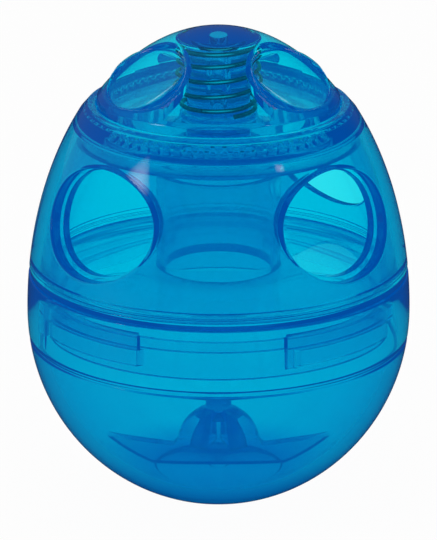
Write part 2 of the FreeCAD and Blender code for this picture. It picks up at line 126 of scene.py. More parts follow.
@dataclass(frozen=True)
class Sizes:
    """Sizes and places that more than one piece meets, in millimetres and degrees."""

    egg: Egg = Egg()
    floor_under_z: float = 41.1
    floor_top_z: float = 42.3
    socket_radius: float = 32.9
    neck_radius: float = 31.3
    neck_end_z: float = 31.0
    lug_meet_z: float = 36.1
    collar_end_z: float = 67.7
    collar_radius: float = 23.7
    opening_radius: float = 22.2
    tooth_height: float = 1.0
    tooth_inner_radius: float = 22.9
    tooth_gap: float = 0.1
    window_z: float = 56.2
    place_count: int = 4
    first_place: float = 45.0
    hole_half_width: float = 12.5
    hole_half_height: float = 9.5
    deck_top_z: float = 70.2
    boss_top_z: float = 71.05
    spring_top_z: float = 84.4
    spring_radius: float = 6.6
    wire: float = 0.8
    post_radius: float = 5.7
    post_flat: float = 4.9


# Mesh tools


def add_object(name: str, data: bpy.types.ID) -> bpy.types.Object:
    """Put a new object into the scene."""
    piece = bpy.data.objects.new(name, data)
    bpy.context.scene.collection.objects.link(piece)
    return piece


def polar(angles: np.ndarray, radii: np.ndarray, z: np.ndarray) -> np.ndarray:
    """Points from angles, radii and heights."""
    places = np.broadcast_arrays(radii * np.cos(angles), radii * np.sin(angles), z)
    return np.stack(places, axis=-1)


def between(first: Loop, second: Loop, share: float) -> Loop:
    """The loop that lies a share of the way from one loop to another."""
    return first[0] + (second[0] - first[0]) * share, first[1] + (second[1] - first[1]) * share


def spread(start: float, end: float, count: int, power: float) -> np.ndarray:
    """Values from one number to another, closer together near the first."""
    return start + (end - start) * np.linspace(0, 1, count + 1) ** power


def bezier(start: np.ndarray, corner: np.ndarray, end: np.ndarray, count: int) -> list[np.ndarray]:
    """Points of the curve that rounds a corner, or of the curves that round a loop of corners."""
    shares = np.linspace(0, 1, count + 1)
    return [(1 - s) ** 2 * start + 2 * s * (1 - s) * corner + s ** 2 * end for s in shares]


def sector_loop(centre: float, count: int, low: float, high: float, side_rows: int) -> Loop:
    """The rim of one sector of a turned band, anticlockwise from its low left corner.

    Args:
        centre: The sector's middle angle.
        count: How many sectors make the full turn.
        low: The lower value of the second coordinate.
        high: Its upper value.
        side_rows: The number of spans up each side.

    Returns:
        The angles and the second coordinates of the rim's points.
    """
    width = COLUMNS // count
    half = math.pi / count
    across = np.linspace(-half, half, width + 1) + centre
    up = np.linspace(low, high, side_rows + 1)
    angles = np.concatenate([across[:-1], np.full(side_rows, across[-1]),
                             across[:0:-1], np.full(side_rows, across[0])])
    others = np.concatenate([np.full(width, low), up[:-1], np.full(width, high), up[:0:-1]])
    return angles, others


@dataclass
class Outline:
    """A half section of a turned piece, point by point, with the steps that rise from it."""

    radii: list[float] = field(default_factory=list)
    heights: list[float] = field(default_factory=list)
    flats: list[float] = field(default_factory=list)
    steps: list[dict[Step, tuple[float, float]]] = field(default_factory=list)
    gaps: set[int] = field(default_factory=set)

    def to(self, radius: float, z: float, step: Step | None = None,
           rise: tuple[float, float] = (0.0, 0.0), flat: float = NO_FLAT) -> "Outline":
        """Lead the outline straight to a point.

        Args:
            radius: The point's radius.
            z: The point's height.
            step: The repeated form that the point belongs to.
            rise: How far the form's point stands from this one, outwards and upwards.
            flat: Half the width between the two flats of the piece at this point.

        Returns:
            The outline itself.
        """
        self.radii.append(float(radius))
        self.heights.append(float(z))
        self.flats.append(flat)
        self.steps.append({step: rise} if step else {})
        return self

    def meet(self, egg: Egg, inset: float, z: float) -> "Outline":
        """Lead the outline straight to the egg's own, drawn in, at a height."""
        return self.to(float(egg.radius_at(z, inset)), z)

    def straight(self, z: float, count: int) -> "Outline":
        """Lead the outline up or down to a height in even steps."""
        for height in np.linspace(self.heights[-1], z, count + 1)[1:]:
            self.to(self.radii[-1], height)
        return self

    def gap(self) -> "Outline":
        """Leave the band up to the next point for another surface to fill."""
        self.gaps.add(len(self.radii) - 1)
        return self

    def raised(self, step: Step, low: tuple[float, float], high: tuple[float, float],
               rise: tuple[float, float]) -> "Outline":
        """Add a repeated form that rises outwards and upwards between two points."""
        self.to(*low).to(*low, step, rise)
        return self.to(*high, step, rise).to(*high)

    def along(self, egg: Egg, inset: float, z: float, count: int) -> "Outline":
        """Follow the egg from the last point's height to another.

        Args:
            egg: The egg's outline.
            inset: How far the path is drawn in.
            z: The height to reach.
            count: The number of points.

        Returns:
            The outline itself.
        """
        for height in np.linspace(self.heights[-1], z, count + 1)[1:]:
            self.meet(egg, inset, height)
        return self

    def over(self, egg: Egg, inset: float, radius: float, count: int) -> "Outline":
        """Follow the egg's crown from the last point's radius to another.

        Args:
            egg: The egg's outline.
            inset: How far the path is drawn in.
            radius: The radius to reach.
            count: The number of points.

        Returns:
            The outline itself.
        """
        for reached in np.linspace(self.radii[-1], radius, count + 1)[1:]:
            self.to(reached, float(egg.height_at(reached, inset)))
        return self

    def rounding(self, index: int, size: float) -> list[np.ndarray]:
        """The curve that rounds one corner.

        Args:
            index: The corner's place in the outline.
            size: How far from the corner the curve starts.

        Returns:
            The curve's points, or none where the corner stays as it is.
        """
        plain = not self.steps[index] and not {index, index - 1} & self.gaps
        if not (plain and 0 < index < len(self.radii) - 1 and self.radii[index] > 0):
            return []
        before, here, after = (np.array([self.radii[place], self.heights[place]])
                               for place in (index - 1, index, index + 1))
        arms = before - here, after - here
        lengths = [np.linalg.norm(arm) for arm in arms]
        reach = min(lengths) / CORNER_ROOM
        if reach <= TINY:
            return []
        turn = np.dot(*arms) / lengths[0] / lengths[1]
        if turn <= -math.cos(STRAIGHT_ANGLE):
            return []
        start, end = (here + arm / length * min(size, reach) for arm, length in zip(arms, lengths))
        return bezier(start, here, end, CORNER_SPANS)

    def eased(self, size: float) -> "Outline":
        """Round the outline's plain corners.

        Args:
            size: How far from each corner the rounding starts.

        Returns:
            A new outline with rounded corners.
        """
        result = Outline()
        for index, here in enumerate(zip(self.radii, self.heights)):
            curve = self.rounding(index, size)
            if index in self.gaps:
                result.gaps.add(len(result.radii))
            for point in curve or [here]:
                result.to(*point, flat=self.flats[index])
            if not curve:
                result.steps[-1] = dict(self.steps[index])
        return result


@dataclass
class Draft:
    """The points and faces of one piece while it is built, in millimetres."""

    points: list[np.ndarray] = field(default_factory=list)
    faces: list[np.ndarray] = field(default_factory=list)
    steps: dict[Step, list[np.ndarray]] = field(default_factory=dict)
    count: int = 0

    def grid(self, rows: np.ndarray, closed: bool, gaps: Sequence[int] = (),
             steps: dict[Step, np.ndarray] | None = None) -> None:
        """Add rows of points and the faces between them.

        Args:
            rows: An array of rows, columns and coordinates.
            closed: Whether the last column meets the first.
            gaps: Rows after which no faces are made.
            steps: The rise of each point for each repeated form.
        """
        height, width = rows.shape[:2]
        ids = np.arange(height * width).reshape(height, width) + self.count
        across = np.concatenate([ids, ids[:, :1]], axis=1) if closed else ids
        for row in sorted(set(range(height - 1)) - set(gaps)):
            low, high = across[row], across[row + 1]
            self.faces.append(np.stack([low[:-1], low[1:], high[1:], high[:-1]], axis=1))
        self.points.append(rows.reshape(-1, 3))
        for step in Step:
            rises = (steps or {}).get(step, np.zeros(rows.shape))
            self.steps.setdefault(step, []).append(rises.reshape(-1, 3))
        self.count += height * width

    def turn(self, outline: Outline, closed: bool) -> None:
        """Add the surface of an outline that is turned about the upright axis.

        Args:
            outline: The half section.
            closed: Whether its last point leads back to its first.
        """
        order = list(range(len(outline.radii))) + ([0] if closed else [])
        radii, heights, flats = (np.array(values)[order][:, None]
                                 for values in (outline.radii, outline.heights, outline.flats))
        radii = np.minimum(radii, flats / np.maximum(np.abs(np.sin(COLUMN_ANGLES)), TINY))
        rows = polar(COLUMN_ANGLES, radii, heights)
        steps = {}
        for step in Step:
            rise = np.array([outline.steps[place].get(step, (0.0, 0.0)) for place in order])
            steps[step] = np.zeros(rows.shape)
            steps[step][..., 0::2] = rise[:, None] * MM
        self.grid(rows, True, tuple(outline.gaps), steps)

    def build(self, name: str) -> bpy.types.Object:
        """Make an object of the draft, in metres, not yet joined at its seams.

        Args:
            name: The object's name.

        Returns:
            The new object.
        """
        mesh = bpy.data.meshes.new(name)
        points = np.concatenate(self.points) * MM
        faces = np.concatenate(self.faces)
        mesh.vertices.add(len(points))
        mesh.vertices.foreach_set("co", points.ravel())
        mesh.loops.add(faces.size)
        mesh.loops.foreach_set("vertex_index", faces.ravel())
        mesh.polygons.add(len(faces))
        mesh.polygons.foreach_set("loop_start", np.arange(0, faces.size, 4))
        for step, rises in self.steps.items():
            values = np.concatenate(rises)
            if np.abs(values).max() > 0:
                layer = mesh.attributes.new(step.value, "FLOAT_VECTOR", "POINT")
                layer.data.foreach_set("vector", values.ravel())
        mesh.update(calc_edges=True)
        return add_object(name, mesh)


@dataclass(frozen=True)
class SideHole:
    """One oval hole through a wall of the egg, along a level radius."""

    egg: Egg
    angle: float
    z: float
    half_width: float
    half_height: float
    rings: int = 12
    crowding: float = 1.6
    rim_spans: int = 5

    def edge(self, turns: np.ndarray, inset: float, grow: float) -> Loop:
        """The hole's edge on the wall at an inset.

        Args:
            turns: Angles round the oval.
            inset: The wall's inset.
            grow: How much larger than the oval the edge is.

        Returns:
            The angle about the toy's axis and the height of each point.
        """
        aside = (self.half_width + grow) * np.cos(turns)
        z = self.z + (self.half_height + grow) * np.sin(turns)
        out = np.sqrt(self.egg.radius_at(z, inset) ** 2 - aside ** 2)
        return self.angle + np.arctan2(aside, out), z

    def on_wall(self, angles: np.ndarray, z: np.ndarray, inset: float) -> np.ndarray:
        """Points of the wall at an inset, from angles and heights."""
        return polar(angles, self.egg.radius_at(z, inset), z)

    def plain(self, draft: Draft, band: Band, count: int) -> None:
        """Add the wall of a place that has no hole.

        Args:
            draft: The piece that the wall belongs to.
            band: The wall's inset and the heights between which it is filled.
            count: How many such places there are.
        """
        inset, low, high = band
        half = math.pi / count
        across = np.linspace(-half, half, COLUMNS // count + 1) + self.angle
        up = np.linspace(low, high, SIDE_ROWS + 1)
        draft.grid(self.on_wall(*np.meshgrid(across, up), inset), False)

    def pierce(self, draft: Draft, bands: Sequence[Band], easing: tuple[float, float],
               count: int) -> None:
        """Add the wall round the hole, its rims and its bore.

        Args:
            draft: The piece that the hole belongs to.
            bands: Inset, lower and upper height of the outer and of the inner wall's band.
            easing: How far the outer and the inner rim are rounded.
            count: How many such holes there are.
        """
        radial = np.array([math.cos(self.angle), math.sin(self.angle), 0.0])
        loops: list[np.ndarray] = []
        for (inset, low, high), ease, sign in zip(bands, easing, (-1, 1)):
            border = sector_loop(self.angle, count, low, high, SIDE_ROWS)
            radius = float(self.egg.radius_at(self.z, inset))
            turns = np.arctan2((border[1] - self.z) / self.half_height,
                               (border[0] - self.angle) * radius / self.half_width)
            edge = self.edge(turns, inset, ease)
            wall = [self.on_wall(*between(edge, border, share), inset)
                    for share in spread(0, 1, self.rings, self.crowding)]
            corner = self.on_wall(*self.edge(turns, inset, 0.0), inset)
            rim = bezier(wall[0], corner, corner + radial * (sign * ease), self.rim_spans)
            loops += wall[:0:-1] + rim if sign < 0 else rim[::-1] + wall[1:]
        draft.grid(np.stack(loops), True)


# Node tools


def feed(tree: bpy.types.NodeTree, node: bpy.types.Node, inputs: dict[str | int, object]) -> None:
    """Set or link the inputs of a node.

    Args:
        tree: The node's tree.
        node: The node.
        inputs: For each input, by name or number, its value, or the socket or node that drives it.
            A colour has three numbers.
    """
    for title, value in inputs.items():
        socket = node.inputs[title]
        if isinstance(value, bpy.types.Node):
            tree.links.new(value.outputs[0], socket)
        elif isinstance(value, bpy.types.NodeSocket):
            tree.links.new(value, socket)
        else:
            socket.default_value = (*value, 1.0) if socket.type == "RGBA" else value


def add_node(tree: bpy.types.NodeTree, kind: str, inputs: dict[str | int, object] | None = None,
             **settings: object) -> bpy.types.Node:
    """Add a node to a tree.

    Args:
        tree: The tree that gets the node.
        kind: The node's type.
        inputs: Values, sockets or nodes for its inputs.
        settings: The node's own properties.

    Returns:
        The node.
    """
    node = tree.nodes.new(kind)
    for name, value in settings.items():
        setattr(node, name, value)
    feed(tree, node, inputs or {})
    return node


def maths(tree: bpy.types.NodeTree, operation: str, *values: object) -> bpy.types.NodeSocket:
    """Add a maths node with numbers, sockets or nodes as its inputs, and give its result."""
    node = add_node(tree, "ShaderNodeMath", dict(enumerate(values)), operation=operation)
    return node.outputs[0]


def ramp(tree: bpy.types.NodeTree, value: object, ends: tuple[object, object],
         results: tuple[float, float] = (0.0, 1.0),
         interpolation: str = "SMOOTHSTEP") -> bpy.types.NodeSocket:
    """Map a value from one range to another.

    Args:
        tree: The tree that gets the node.
        value: What is mapped.
        ends: The ends of its range.
        results: What they are mapped to.
        interpolation: How the values between them are mapped.

    Returns:
        The mapped value.
    """
    inputs = {"Value": value, "From Min": ends[0], "From Max": ends[1],
              "To Min": results[0], "To Max": results[1]}
    return add_node(tree, "ShaderNodeMapRange", inputs, interpolation_type=interpolation).outputs[0]


def blend(tree: bpy.types.NodeTree, share: object, first: object,
          second: object) -> bpy.types.NodeSocket:
    """Blend two colours.

    Args:
        tree: The tree that gets the node.
        share: How much of the second colour shows.
        first: The first colour, or its socket.
        second: The second.

    Returns:
        The blended colour.
    """
    node = add_node(tree, "ShaderNodeMix", data_type="RGBA")
    feed(tree, node, {"Factor": share, "A": first, "B": second})
    return node.outputs["Result"]


def bumps(tree: bpy.types.NodeTree, height: object, strength: float,
          distance: float) -> bpy.types.Node:
    """Turn a height into a bumped normal."""
    inputs = {"Height": height, "Strength": strength, "Distance": distance}
    return add_node(tree, "ShaderNodeBump", inputs)


def new_surface(name: str) -> tuple[bpy.types.Material, bpy.types.NodeTree, bpy.types.Node]:
    """Make a material, and give it back with its tree and its Principled BSDF."""
    material = bpy.data.materials.new(name)
    material.use_nodes = True
    return material, material.node_tree, material.node_tree.nodes["Principled BSDF"]


def new_tree(name: str, kind: str, inputs: Sequence[tuple[str, str, object]],
             outputs: Sequence[tuple[str, str]]) -> tuple[bpy.types.NodeTree, bpy.types.Node,
                                                           bpy.types.Node]:
    """Make a node group with named inputs and outputs.

    Args:
        name: The group's name.
        kind: The type of tree.
        inputs: Name, type and default of each input.
        outputs: Name and type of each output.

    Returns:
        The tree, its input node and its output node.
    """
    tree = bpy.data.node_groups.new(name, kind)
    for title, value_type, default in inputs:
        socket = tree.interface.new_socket(title, in_out="INPUT",
                                           socket_type="NodeSocket" + value_type)
        if default is not None:
            socket.default_value = default
    for title, value_type in outputs:
        tree.interface.new_socket(title, in_out="OUTPUT", socket_type="NodeSocket" + value_type)
    return tree, tree.nodes.new("NodeGroupInput"), tree.nodes.new("NodeGroupOutput")


def end_tree(tree: bpy.types.NodeTree, geometry: bpy.types.Node, start: bpy.types.Node,
             end: bpy.types.Node) -> bpy.types.NodeTree:
    """End a tree in real geometry that carries its material.

    Args:
        tree: The tree.
        geometry: The node whose first output is the finished geometry.
        start: The tree's input node.
        end: Its output node.

    Returns:
        The tree.
    """
    real = add_node(tree, "GeometryNodeRealizeInstances", {0: geometry})
    painted = add_node(tree, "GeometryNodeSetMaterial",
                       {"Geometry": real, "Material": start.outputs["Material"]})
    feed(tree, end, {0: painted})
    return tree


def apply_tree(piece: bpy.types.Object, title: str, tree: bpy.types.NodeTree,
               values: dict[str, object]) -> None:
    """Let a tree shape a piece.

    Args:
        piece: The object.
        title: The modifier's name.
        tree: The tree.
        values: A value for each of its named inputs.
    """
    modifier = piece.modifiers.new(title, "NODES")
    modifier.node_group = tree
    identifiers = {item.name: item.identifier for item in tree.interface.items_tree
                   if item.item_type == "SOCKET" and item.in_out == "INPUT"}
    for name, value in values.items():
        modifier[identifiers[name]] = value


def step_tree() -> bpy.types.NodeTree:
    """The tree that raises a repeated form round a turned piece, such as teeth or lugs."""
    tree, start, end = new_tree("Raised steps", "GeometryNodeTree", [
        ("Geometry", "Geometry", None), ("Form", "String", ""), ("Count", "Int", 4),
        ("First Angle", "Float", 0.0), ("Root Half Arc", "Float", 0.3),
        ("Tip Half Arc", "Float", 0.2), ("Material", "Material", None)],
        [("Geometry", "Geometry")])
    given = start.outputs
    place = add_node(tree, "GeometryNodeInputPosition")
    x, y, _ = add_node(tree, "ShaderNodeSeparateXYZ", {0: place}).outputs
    turned = maths(tree, "SUBTRACT", maths(tree, "ARCTAN2", y, x), given["First Angle"])
    pitch = maths(tree, "DIVIDE", 2 * math.pi, given["Count"])
    phase = maths(tree, "ADD", maths(tree, "DIVIDE", turned, pitch), WHOLE_TURNS + 0.5)
    away = maths(tree, "ABSOLUTE", maths(tree, "SUBTRACT", maths(tree, "FRACT", phase), 0.5))
    share = ramp(tree, maths(tree, "MULTIPLY", away, pitch),
                 (given["Root Half Arc"], given["Tip Half Arc"]), interpolation="LINEAR")
    form = add_node(tree, "GeometryNodeInputNamedAttribute", {"Name": given["Form"]},
                    data_type="FLOAT_VECTOR")
    outwards, _, upwards = add_node(tree, "ShaderNodeSeparateXYZ",
                                    {0: form.outputs["Attribute"]}).outputs
    squares = [maths(tree, "POWER", side, 2.0) for side in (x, y)]
    radius = maths(tree, "MAXIMUM", maths(tree, "SQRT", maths(tree, "ADD", *squares)), TINY)
    out = maths(tree, "MULTIPLY", outwards, share)
    sides = [maths(tree, "MULTIPLY", out, maths(tree, "DIVIDE", side, radius)) for side in (x, y)]
    rise = maths(tree, "MULTIPLY", upwards, share)
    offset = add_node(tree, "ShaderNodeCombineXYZ", {0: sides[0], 1: sides[1], 2: rise})
    moved = add_node(tree, "GeometryNodeSetPosition",
                     {"Geometry": given["Geometry"], "Offset": offset})
    return end_tree(tree, moved, start, end)


def coil_tree() -> bpy.types.NodeTree:
    """The tree that winds a compression spring with closed ends."""
    tree, start, end = new_tree("Wound coil", "GeometryNodeTree", [
        ("Geometry", "Geometry", None), ("Radius", "Float", 0.0066), ("Wire", "Float", 0.0008),
        ("Bottom", "Float", 0.0), ("Turns", "Float", 6.0), ("Turns Below", "Float", 1.0),
        ("Active Turns", "Float", 3.5), ("Closed Pitch", "Float", 0.0012),
        ("Active Pitch", "Float", 0.0027), ("Start Angle", "Float", 0.0),
        ("Spans", "Int", 96), ("Sides", "Int", 20), ("Material", "Material", None)],
        [("Geometry", "Geometry")])
    given = start.outputs
    count = maths(tree, "ADD", maths(tree, "MULTIPLY", given["Turns"], given["Spans"]), 1.0)
    row = add_node(tree, "GeometryNodeMeshLine", {"Count": count}, mode="OFFSET")
    turn = maths(tree, "DIVIDE", add_node(tree, "GeometryNodeInputIndex"), given["Spans"])
    past = maths(tree, "MAXIMUM", maths(tree, "SUBTRACT", turn, given["Turns Below"]), 0.0)
    active = maths(tree, "MINIMUM", past, given["Active Turns"])
    closed = maths(tree, "SUBTRACT", turn, active)
    rise = maths(tree, "ADD", maths(tree, "MULTIPLY", closed, given["Closed Pitch"]),
                 maths(tree, "MULTIPLY", active, given["Active Pitch"]))
    angle = maths(tree, "ADD", maths(tree, "MULTIPLY", turn, 2 * math.pi), given["Start Angle"])
    sides = [maths(tree, "MULTIPLY", maths(tree, operation, angle), given["Radius"])
             for operation in ("COSINE", "SINE")]
    half = maths(tree, "MULTIPLY", given["Wire"], 0.5)
    height = maths(tree, "ADD", rise, maths(tree, "ADD", given["Bottom"], half))
    place = add_node(tree, "ShaderNodeCombineXYZ", {0: sides[0], 1: sides[1], 2: height})
    wound = add_node(tree, "GeometryNodeSetPosition", {"Geometry": row, "Position": place})
    path = add_node(tree, "GeometryNodeMeshToCurve", {0: wound})
    section = add_node(tree, "GeometryNodeCurvePrimitiveCircle",
                       {"Resolution": given["Sides"], "Radius": half})
    wire = add_node(tree, "GeometryNodeCurveToMesh",
                    {"Curve": path, "Profile Curve": section, "Fill Caps": True})
    return end_tree(tree, wire, start, end)


@dataclass(frozen=True)
class Repeat:
    """Where one repeated form stands round a piece, in degrees."""

    step: Step
    count: int
    first_angle: float
    root_half_arc: float
    tip_half_arc: float

    def raise_on(self, piece: bpy.types.Object, tree: bpy.types.NodeTree,
                 material: bpy.types.Material) -> None:
        """Raise the form from a piece.

        Args:
            piece: The drafted object.
            tree: The tree that raises repeated forms.
            material: The piece's finish.
        """
        apply_tree(piece, self.step.value, tree, {
            "Form": self.step.value, "Count": self.count,
            "First Angle": math.radians(self.first_angle),
            "Root Half Arc": math.radians(self.root_half_arc),
            "Tip Half Arc": math.radians(self.tip_half_arc), "Material": material})


def settle(piece: bpy.types.Object, material: bpy.types.Material) -> bpy.types.Object:
    """Turn a piece's modifiers into a plain, closed, smooth mesh.

    Args:
        piece: The object.
        material: Its finish.

    Returns:
        The same object.
    """
    graph = bpy.context.evaluated_depsgraph_get()
    mesh = bpy.data.meshes.new_from_object(piece.evaluated_get(graph))
    old = piece.data
    piece.modifiers.clear()
    piece.data = mesh
    bpy.data.meshes.remove(old)
    mesh.name = piece.name
    for layer in [a.name for a in mesh.attributes if a.name.endswith("_step")]:
        mesh.attributes.remove(mesh.attributes[layer])
    shape = bmesh.new()
    shape.from_mesh(mesh)
    bmesh.ops.remove_doubles(shape, verts=shape.verts, dist=JOIN_DISTANCE)
    bmesh.ops.dissolve_degenerate(shape, edges=shape.edges, dist=SLIVER)
    bmesh.ops.recalc_face_normals(shape, faces=shape.faces)
    open_edges = sum(1 for edge in shape.edges if len(edge.link_faces) != 2)
    volume = shape.calc_volume(signed=True)
    if volume < 0:
        bmesh.ops.reverse_faces(shape, faces=shape.faces)
    shape.to_mesh(mesh)
    shape.free()
    mesh.materials.clear()
    mesh.materials.append(material)
    mesh.shade_smooth()
    mesh.set_sharp_from_angle(angle=SHARP_ANGLE)
    LOG.info("%s: %d faces, %d open edges, %.2f cm3", piece.name, len(mesh.polygons), open_edges,
             abs(volume) / CM3)
    return piece


def unite(piece: bpy.types.Object, others: Sequence[bpy.types.Object],
          material: bpy.types.Material) -> bpy.types.Object:
    """Fuse other closed pieces with a piece, and take them out of the scene.

    Args:
        piece: The piece that stays.
        others: The pieces that become part of it.
        material: Its finish.

    Returns:
        The piece that stays.
    """
    for other in others:
        modifier = piece.modifiers.new(other.name, "BOOLEAN")
        modifier.operation = "UNION"
        modifier.solver = "MANIFOLD"
        modifier.object = other
    settle(piece, material)
    for other in others:
        bpy.data.objects.remove(other)
    return piece


def place_piece(piece: bpy.types.Object, body: str, node: str) -> None:
    """Let a finished piece ride on its body in place of its node.

    Args:
        piece: The piece.
        body: The body that carries it.
        node: The node that it replaces.
    """
    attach(piece, body)
    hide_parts(node)


# Finishes


def moulding_group() -> bpy.types.NodeTree:
    """The faint marks of a moulded surface: slow ripple, scuffs and a little tint."""
    tree, start, end = new_tree("Moulding marks", "ShaderNodeTree", [
        ("Ripple Size", "Float", 60.0), ("Scuff Size", "Float", 900.0),
        ("Smoothness", "Float", 0.02), ("Scuff", "Float", 0.05),
        ("Scuff Contrast", "Float", 6.0)],
        [("Roughness", "Float"), ("Height", "Float"), ("Tint", "Float")])
    given = start.outputs
    place = add_node(tree, "ShaderNodeTexCoord").outputs["Object"]
    ripple, scuff = (add_node(tree, "ShaderNodeTexNoise",
                              {"Vector": place, "Scale": given[size], "Detail": detail})
                     for size, detail in (("Ripple Size", 1.0), ("Scuff Size", 3.0)))
    worn = maths(tree, "POWER", scuff, given["Scuff Contrast"])
    rough = maths(tree, "MULTIPLY_ADD", worn, given["Scuff"], given["Smoothness"])
    feed(tree, end, {"Roughness": rough, "Height": ripple, "Tint": ripple})
    return tree


@dataclass(frozen=True)
class ClearPlastic:
    """Polished transparent plastic that is coloured all through, with a painted blue glow that lights
    it from inside.
    """

    name: str
    marks: bpy.types.NodeTree
    depth: float = 1.0
    tint: Colour = (0.96, 0.985, 1.0)
    absorbed: Colour = (0.0, 0.932, 0.950)
    density: float = 3000.0
    # Painted glow: colour and strength of the light the plastic's volume gives off, though it is no
    # lamp
    glow: Colour = (0.0, 0.27, 1.0)
    painted_glow_strength: float = 57.0
    refraction: float = 1.5
    bump: float = 0.02
    bump_height: float = 0.001

    def build(self) -> bpy.types.Material:
        """Make the material."""
        material, tree, surface = new_surface(self.name)
        marks = add_node(tree, "ShaderNodeGroup", node_tree=self.marks).outputs
        feed(tree, surface, {
            "Transmission Weight": 1.0, "IOR": self.refraction,
            "Base Color": blend(tree, marks["Tint"], self.tint, WHITE),
            "Roughness": marks["Roughness"],
            "Normal": bumps(tree, marks["Height"], self.bump, self.bump_height)})
        colour = add_node(tree, "ShaderNodeVolumeAbsorption",
                          {"Color": self.absorbed, "Density": self.density * self.depth})
        # Painted glow: the volume emits blue light, so the plastic shines from inside
        glow = add_node(tree, "ShaderNodeEmission",
                        {"Color": self.glow, "Strength": self.painted_glow_strength * self.depth})
        inside = add_node(tree, "ShaderNodeAddShader", {0: colour, 1: glow})
        feed(tree, tree.nodes["Material Output"], {"Volume": inside})
        return material


@dataclass(frozen=True)
class SpringSteel:
    """Bright drawn wire with fine marks along its skin, and a pale painted sheen in its colour where
    it faces the eye.
    """

    name: str
    colour: Colour = (0.06, 0.09, 0.12)
    mark_tone: float = 0.75
    mark_size: float = 1500.0
    mark_detail: float = 4.0
    painted_sheen: Colour = (0.55, 0.60, 0.66)
    painted_sheen_reach: float = 0.12
    roughness: float = 0.22
    mark_roughness: float = 0.15
    bump: float = 0.1
    bump_height: float = 0.00005

    def build(self) -> bpy.types.Material:
        """Make the material."""
        material, tree, surface = new_surface(self.name)
        place = add_node(tree, "ShaderNodeTexCoord").outputs["Object"]
        drawn = add_node(tree, "ShaderNodeTexNoise",
                         {"Vector": place, "Scale": self.mark_size, "Detail": self.mark_detail})
        tone = blend(tree, drawn, tuple(part * self.mark_tone for part in self.colour), self.colour)
        # Painted sheen: the wire's base colour turns pale where it faces the eye, a highlight painted
        # into its colour
        facing = add_node(tree, "ShaderNodeLayerWeight").outputs["Facing"]
        painted_sheen_share = ramp(tree, facing, (self.painted_sheen_reach, 0.0))
        feed(tree, surface, {
            "Metallic": 1.0, "Base Color": blend(tree, painted_sheen_share, tone, self.painted_sheen),
            "Roughness": maths(tree, "MULTIPLY_ADD", drawn, self.mark_roughness, self.roughness),
            "Normal": bumps(tree, drawn, self.bump, self.bump_height)})
        return material


# The pieces


@dataclass
class Moulding:
    """A plastic piece: a turned outline, what rises from it and what is added to it."""

    sizes: Sizes
    name: str = ""
    easing: float = 0.25
    closed: bool = True
    repeats: tuple[Repeat, ...] = ()

    def outline(self) -> Outline:
        """The piece's half section."""
        raise NotImplementedError

    def extend(self, draft: Draft) -> None:
        """Add the surfaces that aren't turned, where the piece has them."""

    def build(self, tree: bpy.types.NodeTree, material: bpy.types.Material) -> bpy.types.Object:
        """Make the piece.

        Args:
            tree: The tree that raises repeated forms.
            material: Its finish.

        Returns:
            The finished piece, with a plain closed mesh.
        """
        draft = Draft()
        draft.turn(self.outline().eased(self.easing), self.closed)
        self.extend(draft)
        piece = draft.build(self.name)
        for repeat in self.repeats:
            repeat.raise_on(piece, tree, material)
        return settle(piece, material)


@dataclass
class PiercedWall(Moulding):
    """A moulding whose wall follows the egg, with an oval hole at some of the places round it."""

    inset: float = 0.0
    wall: float = 2.0
    outer_band: tuple[float, float] = (0.0, 0.0)
    inner_band: tuple[float, float] = (0.0, 0.0)
    open_places: tuple[int, ...] = ()
    shrink: float = 0.0
    rim_easing: tuple[float, float] = (0.0, 0.0)
    end_rows: int = 2

    @property
    def inner(self) -> float:
        """How far the wall's inside is drawn in from the egg's outline."""
        return self.inset + self.wall

    def extend(self, draft: Draft) -> None:
        """Fill the gaps that the outline leaves, with a hole at each open place."""
        sizes, count = self.sizes, self.sizes.place_count
        bands = (self.inset, *self.outer_band), (self.inner, *self.inner_band)
        for place in range(count):
            oval = SideHole(sizes.egg, math.radians(sizes.first_place + 360 / count * place),
                            sizes.window_z, sizes.hole_half_width - self.shrink,
                            sizes.hole_half_height - self.shrink)
            if place in self.open_places:
                oval.pierce(draft, bands, self.rim_easing, count)
            else:
                for band in bands:
                    oval.plain(draft, band, count)


